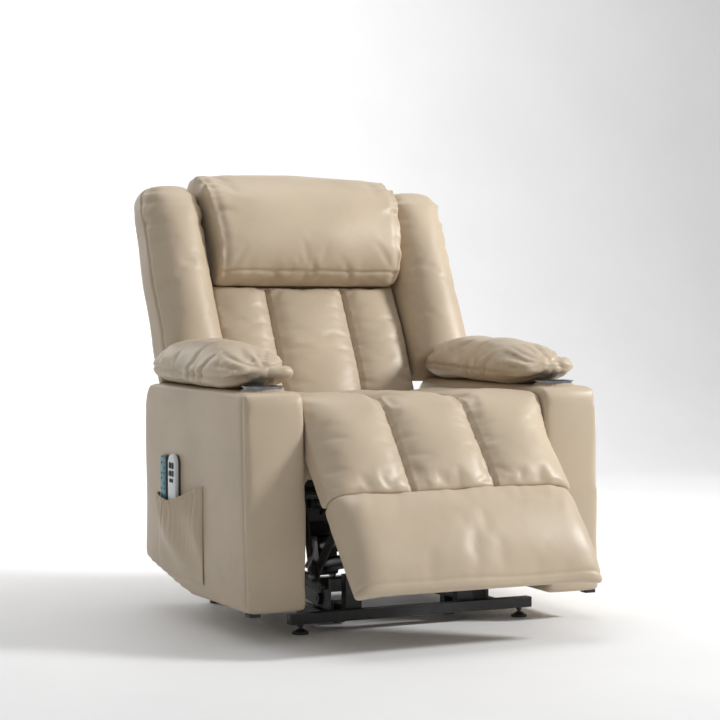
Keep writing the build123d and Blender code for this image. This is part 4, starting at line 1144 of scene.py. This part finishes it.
def bolt(name, centre, sign, body, radius=0.0075):
    """A domed pivot bolt with its washer, along X."""
    x, y, z = centre
    washer = rod(name + "_washer", (x, y, z), (x + sign * 0.0015, y, z), radius * 1.35, 24)
    head = rod(name + "_head", (x + sign * 0.0015, y, z), (x + sign * 0.0048, y, z), radius, 6)
    finished(joined(name, [washer, head]), "bright_steel", body)


def pivot_bolts():
    lower = joints["leg_link_lower_swing"]["pos_m"]
    upper = joints["leg_link_upper_swing"]["pos_m"]
    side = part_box("leg_links_lower")[1][0]
    for hand, sign in HANDS:
        bolt(f"leg_pivot_bolt_{hand}", (sign * (side + 0.0125), lower[1], lower[2]), sign, "chair")
        bolt(f"knee_bolt_{hand}", (sign * side, upper[1], upper[2]), sign, "leg_link_lower")


def hang_tag():
    """A small blank card, hanging beside the leg rest."""
    low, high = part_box("arm_inner_panel_left")
    x, y, z = high[0] + 0.060, low[1] + 0.100, low[2] + 0.142

    def card(u, v):
        bend = 0.006 * sin(pi * v) + 0.003 * (u - 0.5)
        return x + bend - 0.022 * v, y + (u - 0.5) * CARD[0], z - CARD[1] * v

    finished(thickened(sheet_of("hang_tag", 12, 6, card), 0.0006), "black_plastic", "chair", material=PAPER)


# ---- studio
def studio():
    look = Look("studio_floor")
    tone = look.texture("Noise", 2.0, 3.0)
    colour = look.ramp(tone, [(0.3, (0.84, 0.84, 0.84)), (0.7, (0.87, 0.87, 0.87))])
    look.fill(look.shader, {"Base Color": colour, "Roughness": 0.6})
    size, rise, radius, depth = 9.0, 6.0, 2.0, 3.0
    profile = [(-size, 0.0), (depth, 0.0)]
    profile += [(depth + radius * sin(a), radius - radius * cos(a)) for a in np.linspace(0.1, pi / 2, 12)]
    profile += [(depth + radius, rise)]
    vertices = [(x, y, z) for x in (-size, size) for y, z in profile]
    n = len(profile)
    floor = mesh_object("studio_floor", vertices, [(i, i + 1, n + i + 1, n + i) for i in range(n - 1)])
    dress(floor, look.mat)

    world = bpy.data.worlds.new("studio")
    world.use_nodes = True
    world.node_tree.nodes["Background"].inputs["Color"].default_value = (1.0, 1.0, 1.0, 1.0)
    world.node_tree.nodes["Background"].inputs["Strength"].default_value = 0.36
    bpy.context.scene.world = world

    def softbox(name, place, target, size, power):
        data = bpy.data.lights.new(name, "AREA")
        data.shape, data.size, data.energy = "DISK", size, power
        lamp = linked(name, data)
        lamp.location = place
        lamp.rotation_euler = (Vector(target) - Vector(place)).to_track_quat("-Z", "Y").to_euler()

    softbox("key", (3.7, -1.9, 2.7), (0.1, -0.1, 0.5), 0.9, 195.0)
    softbox("fill", (-3.4, -2.2, 1.4), (0, 0, 0.5), 2.6, 4.0)
    softbox("top", (0.3, 0.6, 3.6), (0, 0.1, 0.4), 2.4, 34.0)
    softbox("rear", (-1.5, 3.2, 2.4), (0, 0.2, 0.6), 2.0, 16.0)
    softbox("wall", (0.0, 2.2, 3.4), (0.6, 4.8, 1.6), 3.0, 90.0)

    camera = bpy.data.cameras.new("camera")
    camera.lens, camera.sensor_width = 97.55, 36.0
    eye = linked("camera", camera)
    eye.location = (-2.0666, hinge[1] - 4.5312, 0.7540)
    eye.rotation_euler = Vector((0.43138, 0.90167, -0.02994)).to_track_quat("-Z", "Y").to_euler()
    bpy.context.scene.camera = eye
    bpy.context.scene.view_settings.view_transform = "Standard"


# ---- assembly
chaise = chaise_cushion()
leg_pad = lower_leg_pad()
lumbar_piece = lumbar()
pillow_piece = pillow()
wings = {hand: wing(hand, sign) for hand, sign in HANDS}
pads = {hand: arm_pad(hand, sign) for hand, sign in HANDS}
simulate()
finish_chaise(chaise)
finish_lower_leg_pad(leg_pad)
finish_lumbar(lumbar_piece)
finish_pillow(pillow_piece)
for hand, sign in HANDS:
    finish_wing(wings[hand], hand, sign)
    finish_arm_pad(pads[hand], hand, sign)
    arm_cover(hand, sign)
    side_pocket(hand, sign)
back_cover()
seat_apron()
rear_shade_sheet()
handset()
remote()
end_plugs()
pivot_bolts()
hang_tag()
studio()
